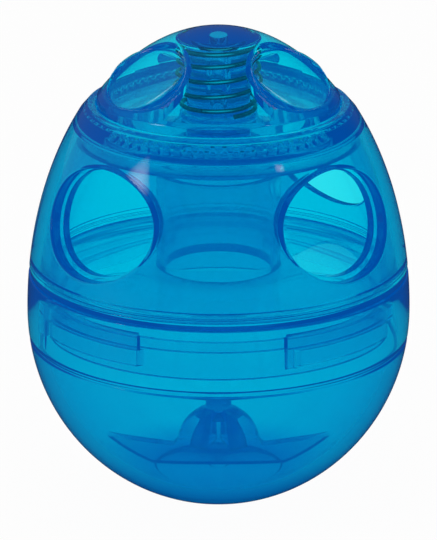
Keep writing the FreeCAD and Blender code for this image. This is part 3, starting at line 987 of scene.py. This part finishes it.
@dataclass
class FeedCone(Moulding):
    """The fluted bell in the cup and the upright web that it stands on."""

    name: str = "bell"
    easing: float = 0.2
    closed: bool = False
    foot_z: float = 8.0
    radius: float = 7.6
    bulge: float = 1.1
    height: float = 5.9
    neck_radius: float = 2.4
    neck_height: float = 1.7
    core_radius: float = 1.6
    slot_half_arc: float = 14.0
    slot_taper: float = 0.5
    petals: int = 6
    cap_rows: int = 8
    petal_rows: int = 17
    bridge: float = 1.2
    web_wall: float = 2.4
    saddle_drop: float = 1.6
    end_rise: float = 1.6
    flare: float = 1.2
    flare_drop: float = 1.0
    flare_start: float = 0.3
    flare_bend: tuple[float, float] = (0.7, 0.16)
    web_lap: float = 0.1
    side_points: int = 40

    def __post_init__(self) -> None:
        """Work out the petals' arc, which their number and their slots give."""
        half_arc = 180 / self.petals - self.slot_half_arc
        self.repeats = (Repeat(Step.PETAL, self.petals, 0.0, half_arc + self.slot_taper,
                               half_arc - self.slot_taper),)

    def bell_radius(self, z: float) -> float:
        """Radius of the bell at a height, on an arc between its foot and its neck."""
        width = self.radius - self.neck_radius
        chord = math.hypot(width, self.height)
        arc = (chord ** 2 / 4 + self.bulge ** 2) / (2 * self.bulge)
        inwards = self.bulge - arc
        centre_r = (self.radius + self.neck_radius) / 2 + inwards * self.height / chord
        centre_z = self.foot_z + self.height / 2 + inwards * width / chord
        return centre_r + math.sqrt(arc ** 2 - (z - centre_z) ** 2)

    def outline(self) -> Outline:
        """The bell's neck and round top, and its core with the petals that rise from it."""
        top = self.foot_z + self.height
        neck_top, slot_top, core = top + self.neck_height, top - self.bridge, self.core_radius
        result = Outline().to(0, neck_top).to(self.neck_radius, neck_top).to(self.neck_radius, top)
        for z in np.linspace(top, slot_top, self.cap_rows + 1)[1:]:
            result.to(self.bell_radius(z), z)
        for z in np.linspace(slot_top, self.foot_z, self.petal_rows + 1):
            result.to(core, z, Step.PETAL, (self.bell_radius(z) - core, 0))
        return result.to(core, self.foot_z).to(0, self.foot_z)

    def web(self, inset: float, floor_z: float, material: bpy.types.Material) -> bpy.types.Object:
        """Make the web, a plate from wall to wall.

        Args:
            inset: How far the plate's rounded edge is drawn in from the egg's outline.
            floor_z: The height of its straight lower edge.
            material: Its finish.

        Returns:
            The plate.
        """
        saddle_z = self.foot_z - self.saddle_drop
        end_z = saddle_z + self.end_rise
        bend_out, bend_up = self.flare_bend
        side = [(self.radius - self.flare_start, self.foot_z + self.web_lap),
                (self.radius + self.flare_start, self.foot_z - self.flare_drop),
                (self.radius + bend_out, saddle_z + bend_up), (self.radius + self.flare, saddle_z)]
        side += [(float(self.sizes.egg.radius_at(z, inset)), float(z))
                 for z in np.linspace(end_z, floor_z, self.side_points)]
        loop = side + [(-x, z) for x, z in reversed(side)]
        count = len(loop)
        half = self.web_wall / 2
        points = [(x * MM, y * MM, z * MM) for y in (-half, half) for x, z in loop]
        faces = [tuple(range(count)), tuple(range(2 * count - 1, count - 1, -1))]
        faces += [(i, i + count, (i + 1) % count + count, (i + 1) % count) for i in range(count)]
        mesh = bpy.data.meshes.new("web")
        mesh.from_pydata(points, [], faces)
        return settle(add_object("web", mesh), material)


@dataclass
class LowerCup(Moulding):
    """The bottom half: a bowl with a feed cone on a web, and a socket with lugs."""

    name: str = "lower_cup_skin"
    closed: bool = False
    repeats: tuple[Repeat, ...] = (
        Repeat(Step.LUG, count=4, first_angle=43.0, root_half_arc=22.5, tip_half_arc=21.6),
        Repeat(Step.STOP, count=4, first_angle=22.5, root_half_arc=1.9, tip_half_arc=1.0))
    wall: float = 2.5
    floor_wall: float = 1.6
    ledge_drop: float = 1.7
    rim_gap: float = 0.2
    crease_depth: float = 0.25
    crease_height: float = 0.8
    recess_radius: float = 12.2
    recess_depth: float = 0.8
    gate_radius: float = 1.7
    gate_depth: float = 0.5
    lug_reach: float = 1.2
    lug_height: float = 2.7
    tray_lug_height: float = 2.9
    lug_gap: float = 0.3
    web_sink: float = 0.1
    bowl_rows: int = 48
    rim_rows: int = 24
    belly_rows: int = 47

    @property
    def floor_z(self) -> float:
        """Height of the bowl's floor."""
        return self.recess_depth + self.floor_wall

    def outline(self) -> Outline:
        """The bowl, the socket with its lugs and stops, the crease, the belly and the foot."""
        sizes, egg, socket = self.sizes, self.sizes.egg, self.sizes.socket_radius
        ledge_z, meet_z = sizes.neck_end_z - self.ledge_drop, sizes.lug_meet_z
        rim_z, lug_top = sizes.floor_under_z - self.rim_gap, meet_z + self.lug_height
        stop_low = meet_z - self.lug_gap - self.tray_lug_height
        gate_z = self.recess_depth + self.gate_depth
        result = Outline().to(0, self.floor_z).meet(egg, self.wall, self.floor_z)
        result.along(egg, self.wall, ledge_z, self.bowl_rows).to(socket, ledge_z).to(socket, stop_low)
        for step, low, high in ((Step.STOP, stop_low, meet_z), (Step.LUG, meet_z, lug_top)):
            for z in (low, high):
                result.to(socket, z, step, (-self.lug_reach, 0))
        result.to(socket, lug_top).to(socket, rim_z).meet(egg, 0, rim_z)
        result.along(egg, 0, ledge_z, self.rim_rows)
        result.meet(egg, self.crease_depth, ledge_z - self.crease_height / 2)
        result.meet(egg, 0, ledge_z - self.crease_height)
        self.belly(result)
        result.to(self.recess_radius, 0).to(self.recess_radius, self.recess_depth)
        result.to(self.gate_radius, self.recess_depth).to(self.gate_radius, gate_z)
        return result.to(0, gate_z)

    def belly(self, outline: Outline) -> None:
        """Lead the outline down the egg's belly to the foot, closer together as it flattens."""
        egg = self.sizes.egg
        start = math.acos((egg.widest_z - outline.heights[-1]) / egg.belly_reach)
        end = math.acos(egg.widest_z / egg.belly_reach)
        for angle in np.linspace(start, end, self.belly_rows + 1)[1:]:
            z = max(0.0, egg.widest_z - egg.belly_reach * math.cos(angle))
            outline.to(egg.radius * math.sin(angle), z)

    def build(self, tree: bpy.types.NodeTree, material: bpy.types.Material) -> bpy.types.Object:
        """Make the cup, with the cone and its web fused in.

        Args:
            tree: The tree that raises repeated forms.
            material: Its finish.

        Returns:
            The finished piece.
        """
        cup = super().build(tree, material)
        cone = FeedCone(self.sizes)
        bell = cone.build(tree, material)
        web = cone.web(self.wall - self.web_sink, self.floor_z - self.web_sink, material)
        return unite(cup, [bell, web], material)


@dataclass
class DividerTray(Moulding):
    """The partition floor with the treat tube above and the lugged neck below."""

    name: str = "divider_tray_skin"
    easing: float = 0.2
    repeats: tuple[Repeat, ...] = (
        Repeat(Step.LUG, count=4, first_angle=45.0, root_half_arc=20.4, tip_half_arc=19.6),)
    bore_radius: float = 10.0
    tube_wall: float = 1.3
    tube_top_z: float = 60.0
    upstand_inner: float = 32.52
    upstand_outer: float = 33.22
    upstand_height: float = 1.2
    seam_inset: float = 0.25
    neck_wall: float = 1.5
    rib_wall: float = 1.0
    rib_low_z: float = 35.6
    rib_height: float = 1.8
    lug_reach: float = 1.2
    lug_height: float = 2.9
    lug_gap: float = 0.3
    tube_rows: int = 11

    def outline(self) -> Outline:
        """The tube, the floor with its upstand, and the neck with its lugs and its inner rib."""
        sizes, egg, neck = self.sizes, self.sizes.egg, self.sizes.neck_radius
        under, top = sizes.floor_under_z, sizes.floor_top_z
        tube, bore = self.bore_radius + self.tube_wall, neck - self.neck_wall
        upstand_top, rib = top + self.upstand_height, bore - self.rib_wall
        rib_top, lug_top = self.rib_low_z + self.rib_height, sizes.lug_meet_z - self.lug_gap
        result = Outline().to(self.bore_radius, under).straight(self.tube_top_z, self.tube_rows)
        result.to(tube, self.tube_top_z).straight(top, self.tube_rows)
        result.to((tube + self.upstand_inner) / 2, top)
        result.to(self.upstand_inner, top).to(self.upstand_inner, upstand_top)
        result.to(self.upstand_outer, upstand_top).to(self.upstand_outer, top)
        result.meet(egg, self.seam_inset, top).meet(egg, self.seam_inset, under).to(neck, under)
        result.raised(Step.LUG, (neck, lug_top), (neck, lug_top - self.lug_height),
                      (self.lug_reach, 0))
        result.to(neck, sizes.neck_end_z).to(bore, sizes.neck_end_z)
        result.to(bore, self.rib_low_z).to(rib, self.rib_low_z).to(rib, rib_top).to(bore, rib_top)
        return result.to(bore, under).to(tube, under)


@dataclass
class UpperShell(PiercedWall):
    """The egg's wall with three oval treat holes, and the lip with its hanging teeth."""

    name: str = "upper_shell_skin"
    repeats: tuple[Repeat, ...] = (
        Repeat(Step.TOOTH, count=72, first_angle=0.0, root_half_arc=1.65, tip_half_arc=1.0),)
    outer_band: tuple[float, float] = (43.2, 69.0)
    inner_band: tuple[float, float] = (44.6, 67.2)
    open_places: tuple[int, ...] = (0, 2, 3)
    rim_easing: tuple[float, float] = (0.6, 0.25)
    rabbet_radius: float = 33.32
    rabbet_top_z: float = 43.6
    lip_edge_z: float = 70.9
    lip_top_z: float = 72.7
    lip_top_radius: float = 23.6
    lip_under_z: float = 71.0
    lip_rows: int = 6

    def outline(self) -> Outline:
        """The rabbet, the wall's ends, and the lip with its teeth and its collar."""
        sizes, egg, collar = self.sizes, self.sizes.egg, self.sizes.collar_radius
        low, opening, under = sizes.floor_top_z + SEAM_GAP, sizes.opening_radius, self.lip_under_z
        result = Outline().to(self.rabbet_radius, low).meet(egg, 0, low)
        result.along(egg, 0, self.outer_band[0], self.end_rows).gap()
        result.meet(egg, 0, self.outer_band[1]).along(egg, 0, self.lip_edge_z, self.lip_rows)
        result.to(self.lip_top_radius, self.lip_top_z)
        result.to(opening, self.lip_top_z).to(opening, under)
        result.raised(Step.TOOTH, (sizes.tooth_inner_radius, under),
                      (collar - sizes.tooth_gap, under), (0, -sizes.tooth_height))
        result.to(collar, under).to(collar, sizes.collar_end_z)
        result.meet(egg, self.inner, sizes.collar_end_z)
        result.along(egg, self.inner, self.inner_band[1], self.end_rows).gap()
        result.meet(egg, self.inner, self.inner_band[0])
        result.along(egg, self.inner, self.rabbet_top_z, self.end_rows)
        return result.to(self.rabbet_radius, self.rabbet_top_z)


@dataclass
class ShutterSleeve(PiercedWall):
    """The thin sleeve inside the shell, with two windows, a deck and a boss for the dial."""

    name: str = "shutter_sleeve_skin"
    easing: float = 0.15
    inset: float = 2.4
    wall: float = 1.3
    outer_band: tuple[float, float] = (43.4, 65.9)
    inner_band: tuple[float, float] = (43.4, 65.2)
    open_places: tuple[int, ...] = (2, 3)
    shrink: float = 0.6
    rim_easing: tuple[float, float] = (0.2, 0.06)
    foot_z: float = 42.45
    foot_rise: float = 0.2
    shoulder_z: float = 66.2
    drum_radius: float = 18.8
    drum_wall: float = 1.2
    boss_radius: float = 7.0
    guide_end_z: float = 67.6
    bore_gap: float = 0.15

    def outline(self) -> Outline:
        """The wall's ends, the shoulder, the drum with its deck, and the boss with its bore."""
        sizes, egg, boss = self.sizes, self.sizes.egg, self.boss_radius
        deck, drum, drum_bore = sizes.deck_top_z, self.drum_radius, self.drum_radius - self.drum_wall
        bore, flat = sizes.post_radius + self.bore_gap, sizes.post_flat + self.bore_gap
        result = Outline().meet(egg, self.inner, self.foot_z).meet(egg, self.inset, self.foot_z)
        result.along(egg, self.inset, self.outer_band[0], self.end_rows).gap()
        result.meet(egg, self.inset, self.outer_band[1])
        result.along(egg, self.inset, self.shoulder_z, self.end_rows)
        result.to(drum, self.shoulder_z).to(drum, deck).to(boss, deck).to(boss, sizes.boss_top_z)
        result.to(bore, sizes.boss_top_z, flat=flat).to(bore, self.guide_end_z, flat=flat)
        result.to(boss, self.guide_end_z).to(boss, deck - self.drum_wall)
        result.to(drum_bore, deck - self.drum_wall).to(drum_bore, self.inner_band[1])
        result.meet(egg, self.inner, self.inner_band[1]).gap()
        result.meet(egg, self.inner, self.inner_band[0])
        return result.along(egg, self.inner, self.foot_z + self.foot_rise, self.end_rows)


@dataclass
class DialDome(Moulding):
    """The dome that a finger presses and turns: dishes above, teeth and a post below."""

    name: str = "dial_dome_skin"
    easing: float = 0.12
    closed: bool = False
    repeats: tuple[Repeat, ...] = (
        Repeat(Step.TOOTH, count=72, first_angle=2.5, root_half_arc=1.65, tip_half_arc=1.0),)
    inset: float = 1.0
    wall: float = 1.5
    skirt_radius: float = 21.9
    skirt_bore: float = 19.9
    strip_z: float = 71.0
    flange_radius: float = 23.5
    flange_top_z: float = 68.7
    dish_count: int = 3
    dish_first_angle: float = 90.0
    dish_radius: float = 14.85
    dish_half_width: float = 9.4
    dish_half_reach: float = 6.05
    dish_depth: float = 2.8
    dish_ball: float = 30.0
    dish_wall: float = 1.2
    dish_round: float = 0.45
    side_rows: int = 30
    rim_spans: int = 5
    top_rings: int = 10
    top_crowding: float = 1.4
    floor_rings: int = 14
    inside_rings: int = 8
    inside_crowding: float = 1.3
    bulge_rings: int = 12
    crown_rows: int = 14
    post_rows: int = 7
    crown_radius: float = 7.6
    seat_radius: float = 7.3
    post_end_z: float = 64.5
    flat_top_z: float = 74.6
    core_radius: float = 1.5
    core_top_z: float = 83.0

    def ball_centre(self) -> tuple[float, float]:
        """Radius and height of the centre of the ball that shapes a dish's floor."""
        egg = self.sizes.egg
        z = float(egg.height_at(self.dish_radius, self.inset))
        reach, width = egg.crown_reach - self.inset, egg.radius - self.inset
        share = self.dish_radius / width
        tilt = math.atan(reach / width * share / math.sqrt(1 - share ** 2))
        lift = self.dish_ball - self.dish_depth
        return self.dish_radius + math.sin(tilt) * lift, z + math.cos(tilt) * lift

    def floor_height(self, loop: Loop, centre: float, drop: float) -> np.ndarray:
        """Height of a dish's floor, or of its underside.

        Args:
            loop: Angles and radii of the points about the toy's axis.
            centre: The dish's own angle.
            drop: How much the ball is grown, which lowers the floor.

        Returns:
            The height at each point.
        """
        angles, radii = loop
        out, z = self.ball_centre()
        along = radii * np.cos(angles - centre) - out
        aside = radii * np.sin(angles - centre)
        return z - np.sqrt((self.dish_ball + drop) ** 2 - along ** 2 - aside ** 2)

    def oval(self, turns: np.ndarray, centre: float, grow: float, share: float = 1.0) -> Loop:
        """The dish's oval as seen from above.

        Args:
            turns: Angles round the oval.
            centre: The dish's own angle.
            grow: How much larger than the dish the oval is.
            share: How large it is after that, with 0 at its middle.

        Returns:
            The angles and radii of its points about the toy's axis.
        """
        along = self.dish_radius + (self.dish_half_reach + grow) * np.cos(turns) * share
        aside = (self.dish_half_width + grow) * np.sin(turns) * share
        return centre + np.arctan2(aside, along), np.hypot(along, aside)

    def sector(self, centre: float, low: float, high: float) -> tuple[Loop, np.ndarray]:
        """The border of one dish's sector, and the angles round the oval that face it.

        Args:
            centre: The dish's own angle.
            low: The sector's inner radius.
            high: Its outer radius.

        Returns:
            The border's angles and radii, and the angle round the oval for each point.
        """
        angles, radii = sector_loop(centre, self.dish_count, low, high, self.side_rows)
        along = radii * np.cos(angles - centre) - self.dish_radius
        aside = radii * np.sin(angles - centre)
        turns = np.arctan2(aside / self.dish_half_width, along / self.dish_half_reach)
        return (angles, radii), turns

    def dish(self, draft: Draft, centre: float) -> None:
        """Add one sector of the dome's top with its finger dish."""
        border, turns = self.sector(centre, self.crown_radius, self.skirt_radius)
        edge, rim = (self.oval(turns, centre, grow) for grow in (self.dish_round, 0.0))
        loops = []
        for share in spread(0, 1, self.top_rings, self.top_crowding)[::-1]:
            ring = between(edge, border, share)
            loops.append(polar(*ring, self.sizes.egg.height_at(ring[1], self.inset)))
        down = np.array([0.0, 0.0, -self.dish_round])
        corner = polar(*rim, self.sizes.egg.height_at(rim[1], self.inset))
        loops += bezier(loops[-1], corner, corner + down, self.rim_spans)[1:]
        corner = polar(*rim, self.floor_height(rim, centre, 0))
        floor = []
        for share in np.linspace(1, 0, self.floor_rings + 1):
            ring = self.oval(turns, centre, -self.dish_round, share)
            floor.append(polar(*ring, self.floor_height(ring, centre, 0)))
        loops += bezier(corner - down, corner, floor[0], self.rim_spans) + floor[1:]
        draft.grid(np.stack(loops), True)

    def underside(self, draft: Draft, centre: float) -> None:
        """Add one sector of the dome's inside, with the bulge under its dish."""
        inner, middle = self.inset + self.wall, self.dish_radius
        border, turns = self.sector(centre, self.seat_radius, self.skirt_bore)
        edge = self.oval(turns, centre, self.dish_wall)
        clipped = edge[1] >= self.skirt_bore
        edge = np.where(clipped, border[0], edge[0]), np.where(clipped, border[1], edge[1])
        low = self.floor_height(edge, centre, self.dish_wall)
        loops = []
        for share in spread(0, 1, self.inside_rings, self.inside_crowding)[::-1]:
            ring = between(edge, border, share)
            z = np.where(clipped, low, self.sizes.egg.height_at(ring[1], inner))
            loops.append(polar(*ring, z))
        loops.append(polar(*edge, low))
        for share in np.linspace(1, 0, self.bulge_rings + 1)[1:]:
            along = middle + (edge[1] * np.cos(edge[0] - centre) - middle) * share
            aside = edge[1] * np.sin(edge[0] - centre) * share
            ring = centre + np.arctan2(aside, along), np.hypot(along, aside)
            loops.append(polar(*ring, self.floor_height(ring, centre, self.dish_wall)))
        draft.grid(np.stack(loops), True)
        width = COLUMNS // self.dish_count
        first = width + self.side_rows
        rim = loops[0][first:first + width + 1]
        foot = rim.copy()
        foot[:, 2] = self.strip_z
        draft.grid(np.stack([rim, foot]), False)

    def outline(self) -> Outline:
        """The crown, the skirt with its toothed flange, the spring's seat and the post."""
        sizes, egg, seat, skirt = self.sizes, self.sizes.egg, self.seat_radius, self.skirt_radius
        post, flat, spring_z = sizes.post_radius, sizes.post_flat, sizes.spring_top_z
        flange, flange_z, end_z = self.flange_radius, self.flange_top_z, sizes.collar_end_z
        result = Outline().to(0, float(egg.height_at(0, self.inset)))
        result.over(egg, self.inset, self.crown_radius, self.crown_rows).gap()
        result.to(skirt, float(egg.height_at(skirt, self.inset))).to(skirt, flange_z)
        result.raised(Step.TOOTH, (sizes.tooth_inner_radius, flange_z),
                      (flange - sizes.tooth_gap, flange_z), (0, sizes.tooth_height))
        result.to(flange, flange_z).to(flange, end_z)
        result.to(self.skirt_bore, end_z).to(self.skirt_bore, self.strip_z).gap()
        result.to(seat, float(egg.height_at(seat, self.inset + self.wall))).to(seat, spring_z)
        result.to(post, spring_z).straight(self.flat_top_z, self.post_rows)
        result.to(post, self.flat_top_z, flat=flat).to(post, self.post_end_z, flat=flat)
        result.to(self.core_radius, self.post_end_z).to(self.core_radius, self.core_top_z)
        return result.to(0, self.core_top_z)

    def extend(self, draft: Draft) -> None:
        """Add the dishes and the dome's inside."""
        for index in range(self.dish_count):
            centre = math.radians(self.dish_first_angle + 360 / self.dish_count * index)
            self.dish(draft, centre)
            self.underside(draft, centre)


@dataclass
class ReturnSpring:
    """The steel compression spring round the dial's post."""

    sizes: Sizes
    name: str = "return_spring_wire"
    turns_below: float = 1.0
    active_turns: float = 3.5
    turns_above: float = 1.5
    closed_pitch: float = 1.22
    start_angle: float = -65.0
    spans: int = 96
    sides: int = 20
    gap: float = 0.02
    press_travel: float = 1.2

    def build(self, tree: bpy.types.NodeTree, material: bpy.types.Material) -> bpy.types.Object:
        """Wind the spring.

        Args:
            tree: The tree that winds a coil.
            material: Its finish.

        Returns:
            The finished piece.
        """
        sizes = self.sizes
        rise = sizes.spring_top_z - sizes.boss_top_z - sizes.wire - 2 * self.gap
        closed = (self.turns_below + self.turns_above) * self.closed_pitch
        piece = add_object(self.name, bpy.data.meshes.new(self.name))
        apply_tree(piece, "coil", tree, {
            "Radius": sizes.spring_radius * MM, "Wire": sizes.wire * MM,
            "Bottom": (sizes.boss_top_z + self.gap) * MM,
            "Turns": self.turns_below + self.active_turns + self.turns_above,
            "Turns Below": self.turns_below, "Active Turns": self.active_turns,
            "Closed Pitch": self.closed_pitch * MM,
            "Active Pitch": (rise - closed) / self.active_turns * MM,
            "Start Angle": math.radians(self.start_angle),
            "Spans": self.spans, "Sides": self.sides, "Material": material})
        return settle(piece, material)

    def shorten(self, piece: bpy.types.Object) -> None:
        """Give the placed spring a mesh of its own."""
        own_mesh(piece)


# The studio


def seen(tree: bpy.types.NodeTree, path: bpy.types.bpy_prop_collection) -> bpy.types.NodeSocket:
    """1 where a ray comes from the eye, straight or through the plastic."""
    return maths(tree, "MAXIMUM", path["Is Camera Ray"], path["Is Transmission Ray"])


@dataclass(frozen=True)
class Softbox:
    """A soft lamp that looks at the toy and fades towards its edges, in metres and watts.

    Across each side its light follows the parabola x (1 - x), which a peak of 4 brings to 1.
    """

    name: str
    place: tuple[float, float, float]
    size: tuple[float, float]
    power: float
    roll: float
    peak: float = 4.0

    def build(self, target: Vector) -> None:
        """Hang the lamp so that it looks at a point."""
        data = bpy.data.lights.new(self.name, "AREA")
        data.shape = "RECTANGLE"
        data.size, data.size_y = self.size
        data.energy = self.power
        data.use_nodes = True
        tree = data.node_tree
        across = add_node(tree, "ShaderNodeNewGeometry").outputs["Parametric"]
        sides = add_node(tree, "ShaderNodeSeparateXYZ", {0: across}).outputs[:2]
        fades = [maths(tree, "MULTIPLY", side,
                       maths(tree, "MULTIPLY_ADD", side, -self.peak, self.peak))
                 for side in sides]
        feed(tree, tree.nodes["Emission"], {"Strength": maths(tree, "MULTIPLY", *fades)})
        lamp = add_object(self.name, data)
        lamp.location = self.place
        aim = (target - Vector(self.place)).to_track_quat("-Z", "Y")
        turn = aim @ Quaternion((0.0, 0.0, 1.0), math.radians(self.roll))
        lamp.rotation_euler = turn.to_euler()
        lamp.visible_camera = False
        lamp.visible_transmission = False


@dataclass
class Studio:
    """A white floor and backdrop, soft lamps and the camera at the photograph's angle."""

    distance: float = 0.700
    elevation: float = 18.70
    target_z: float = 0.04069
    lens: float = 255.3
    sensor_height: float = 36.0
    clip_end: float = 10.0
    front_glow: float = 0.004
    back_glow: float = 0.08
    glow_side: tuple[float, float, float] = (-0.6, 0.8, 0.0)
    glow_ends: tuple[float, float] = (-0.1, 0.9)
    light_level: float = 0.55
    floor_half: float = 3.0
    floor_drop: float = 0.0002
    floor_tone: float = 0.9
    glossy_tone: float = 0.03
    floor_roughness: float = 0.6
    floor_glow: float = 0.97
    shade_colour: Colour = (0.0, 0.46, 0.76)
    shade_ends: tuple[float, float] = (0.011, 0.029)
    bounces: int = 40
    glossy_bounces: int = 12
    lamps: tuple[Softbox, ...] = (
        Softbox("left softbox", place=(-1.19, -0.61, 0.70), size=(0.44, 0.40), power=2.6, roll=42.0),
        Softbox("right softbox", place=(0.95, -0.77, 0.89), size=(0.18, 0.08), power=0.2, roll=-17.0))

    def camera(self) -> None:
        """Add the camera."""
        data = bpy.data.cameras.new("camera")
        data.sensor_fit = "VERTICAL"
        data.sensor_height = self.sensor_height
        data.lens = self.lens
        data.clip_end = self.clip_end
        camera = add_object("camera", data)
        tilt = math.radians(self.elevation)
        camera.location = (0.0, -self.distance * math.cos(tilt),
                           self.target_z + self.distance * math.sin(tilt))
        camera.rotation_euler = (math.pi / 2 - tilt, 0.0, 0.0)
        bpy.context.scene.camera = camera

    def world(self) -> None:
        """Give the world plain light, and a white look to the eye and through the plastic."""
        world = bpy.data.worlds.new("studio")
        bpy.context.scene.world = world
        world.use_nodes = True
        tree = world.node_tree
        path = add_node(tree, "ShaderNodeLightPath").outputs
        place = add_node(tree, "ShaderNodeTexCoord").outputs["Generated"]
        side = add_node(tree, "ShaderNodeVectorMath", {0: place, 1: self.glow_side},
                        operation="DOT_PRODUCT")
        back = ramp(tree, side.outputs["Value"], self.glow_ends, (self.front_glow, self.back_glow))
        glossy = maths(tree, "MULTIPLY", back, path["Is Glossy Ray"])
        plain = maths(tree, "SUBTRACT", 1.0, path["Is Glossy Ray"])
        level = maths(tree, "MULTIPLY_ADD", plain, self.light_level, glossy)
        strength = maths(tree, "MAXIMUM", seen(tree, path), level)
        feed(tree, tree.nodes["Background"], {"Color": WHITE, "Strength": strength})

    def floor(self) -> None:
        """Add the white floor: white to the eye, and through the plastic white but for a painted
        shadow round the foot.
        """
        mesh = bpy.data.meshes.new("floor")
        half = self.floor_half
        corners = [(-half, -half), (half, -half), (half, half), (-half, half)]
        mesh.from_pydata([(x, y, -self.floor_drop) for x, y in corners], [], [(0, 1, 2, 3)])
        floor = add_object("floor", mesh)
        material, tree, surface = new_surface("white floor")
        path = add_node(tree, "ShaderNodeLightPath").outputs
        tone = maths(tree, "MULTIPLY_ADD", path["Is Glossy Ray"],
                     self.glossy_tone - self.floor_tone, self.floor_tone)
        feed(tree, surface, {"Roughness": self.floor_roughness, "Base Color": tone})
        glow = add_node(tree, "ShaderNodeEmission",
                        {"Color": self.shade(tree, path["Is Camera Ray"])})
        share = maths(tree, "MULTIPLY", seen(tree, path), self.floor_glow)
        mixed = add_node(tree, "ShaderNodeMixShader", {0: share, 1: surface, 2: glow})
        feed(tree, tree.nodes["Material Output"], {"Surface": mixed})
        mesh.materials.append(material)

    def shade(self, tree: bpy.types.NodeTree, plain: bpy.types.NodeSocket) -> bpy.types.NodeSocket:
        """The floor's colour as the plastic shows it, with the toy's blue shade round its foot.

        Args:
            tree: The floor's tree.
            plain: Where this is 1, the floor stays white.

        Returns:
            The colour.
        """
        place = add_node(tree, "ShaderNodeTexCoord").outputs["Object"]
        reach = add_node(tree, "ShaderNodeVectorMath", {0: place}, operation="LENGTH")
        # Painted shadow: through the plastic the floor's colour turns blue round the toy's foot
        open_floor = ramp(tree, reach.outputs["Value"], self.shade_ends)
        return blend(tree, maths(tree, "MAXIMUM", open_floor, plain), self.shade_colour, WHITE)

    def build(self) -> None:
        """Set the studio up."""
        self.camera()
        self.world()
        self.floor()
        for lamp in self.lamps:
            lamp.build(Vector((0.0, 0.0, self.target_z)))
        scene = bpy.context.scene
        scene.view_settings.view_transform = "Standard"
        scene.cycles.max_bounces = self.bounces
        scene.cycles.transmission_bounces = self.bounces
        scene.cycles.glossy_bounces = self.glossy_bounces
        scene.cycles.caustics_reflective = True
        scene.cycles.caustics_refractive = True


def main() -> None:
    """Build the studio and the pieces, in order."""
    logging.basicConfig(level=logging.INFO, format="%(name)s: %(message)s")
    Studio().build()
    sizes = Sizes()
    steps, coil, marks = step_tree(), coil_tree(), moulding_group()
    pieces = [
        (LowerCup(sizes), "cup", "lower_cup", "cup_plastic", 1.0),
        (DividerTray(sizes), "upper", "divider_tray", "tray_plastic", 0.5),
        (UpperShell(sizes), "upper", "upper_shell", "shell_plastic", 1.0),
        (ShutterSleeve(sizes), "shutter", "shutter_sleeve", "sleeve_plastic", 0.8),
        (DialDome(sizes), "dial", "dial_dome", "dome_plastic", 0.7),
    ]
    for maker, body, node, slot, depth in pieces:
        piece = maker.build(steps, ClearPlastic(slot, marks, depth).build())
        place_piece(piece, body, node)
    spring = ReturnSpring(sizes)
    wire = spring.build(coil, SpringSteel("spring steel").build())
    place_piece(wire, "shutter", "return_spring")
    spring.shorten(wire)


if __name__ == "__main__":
    main()
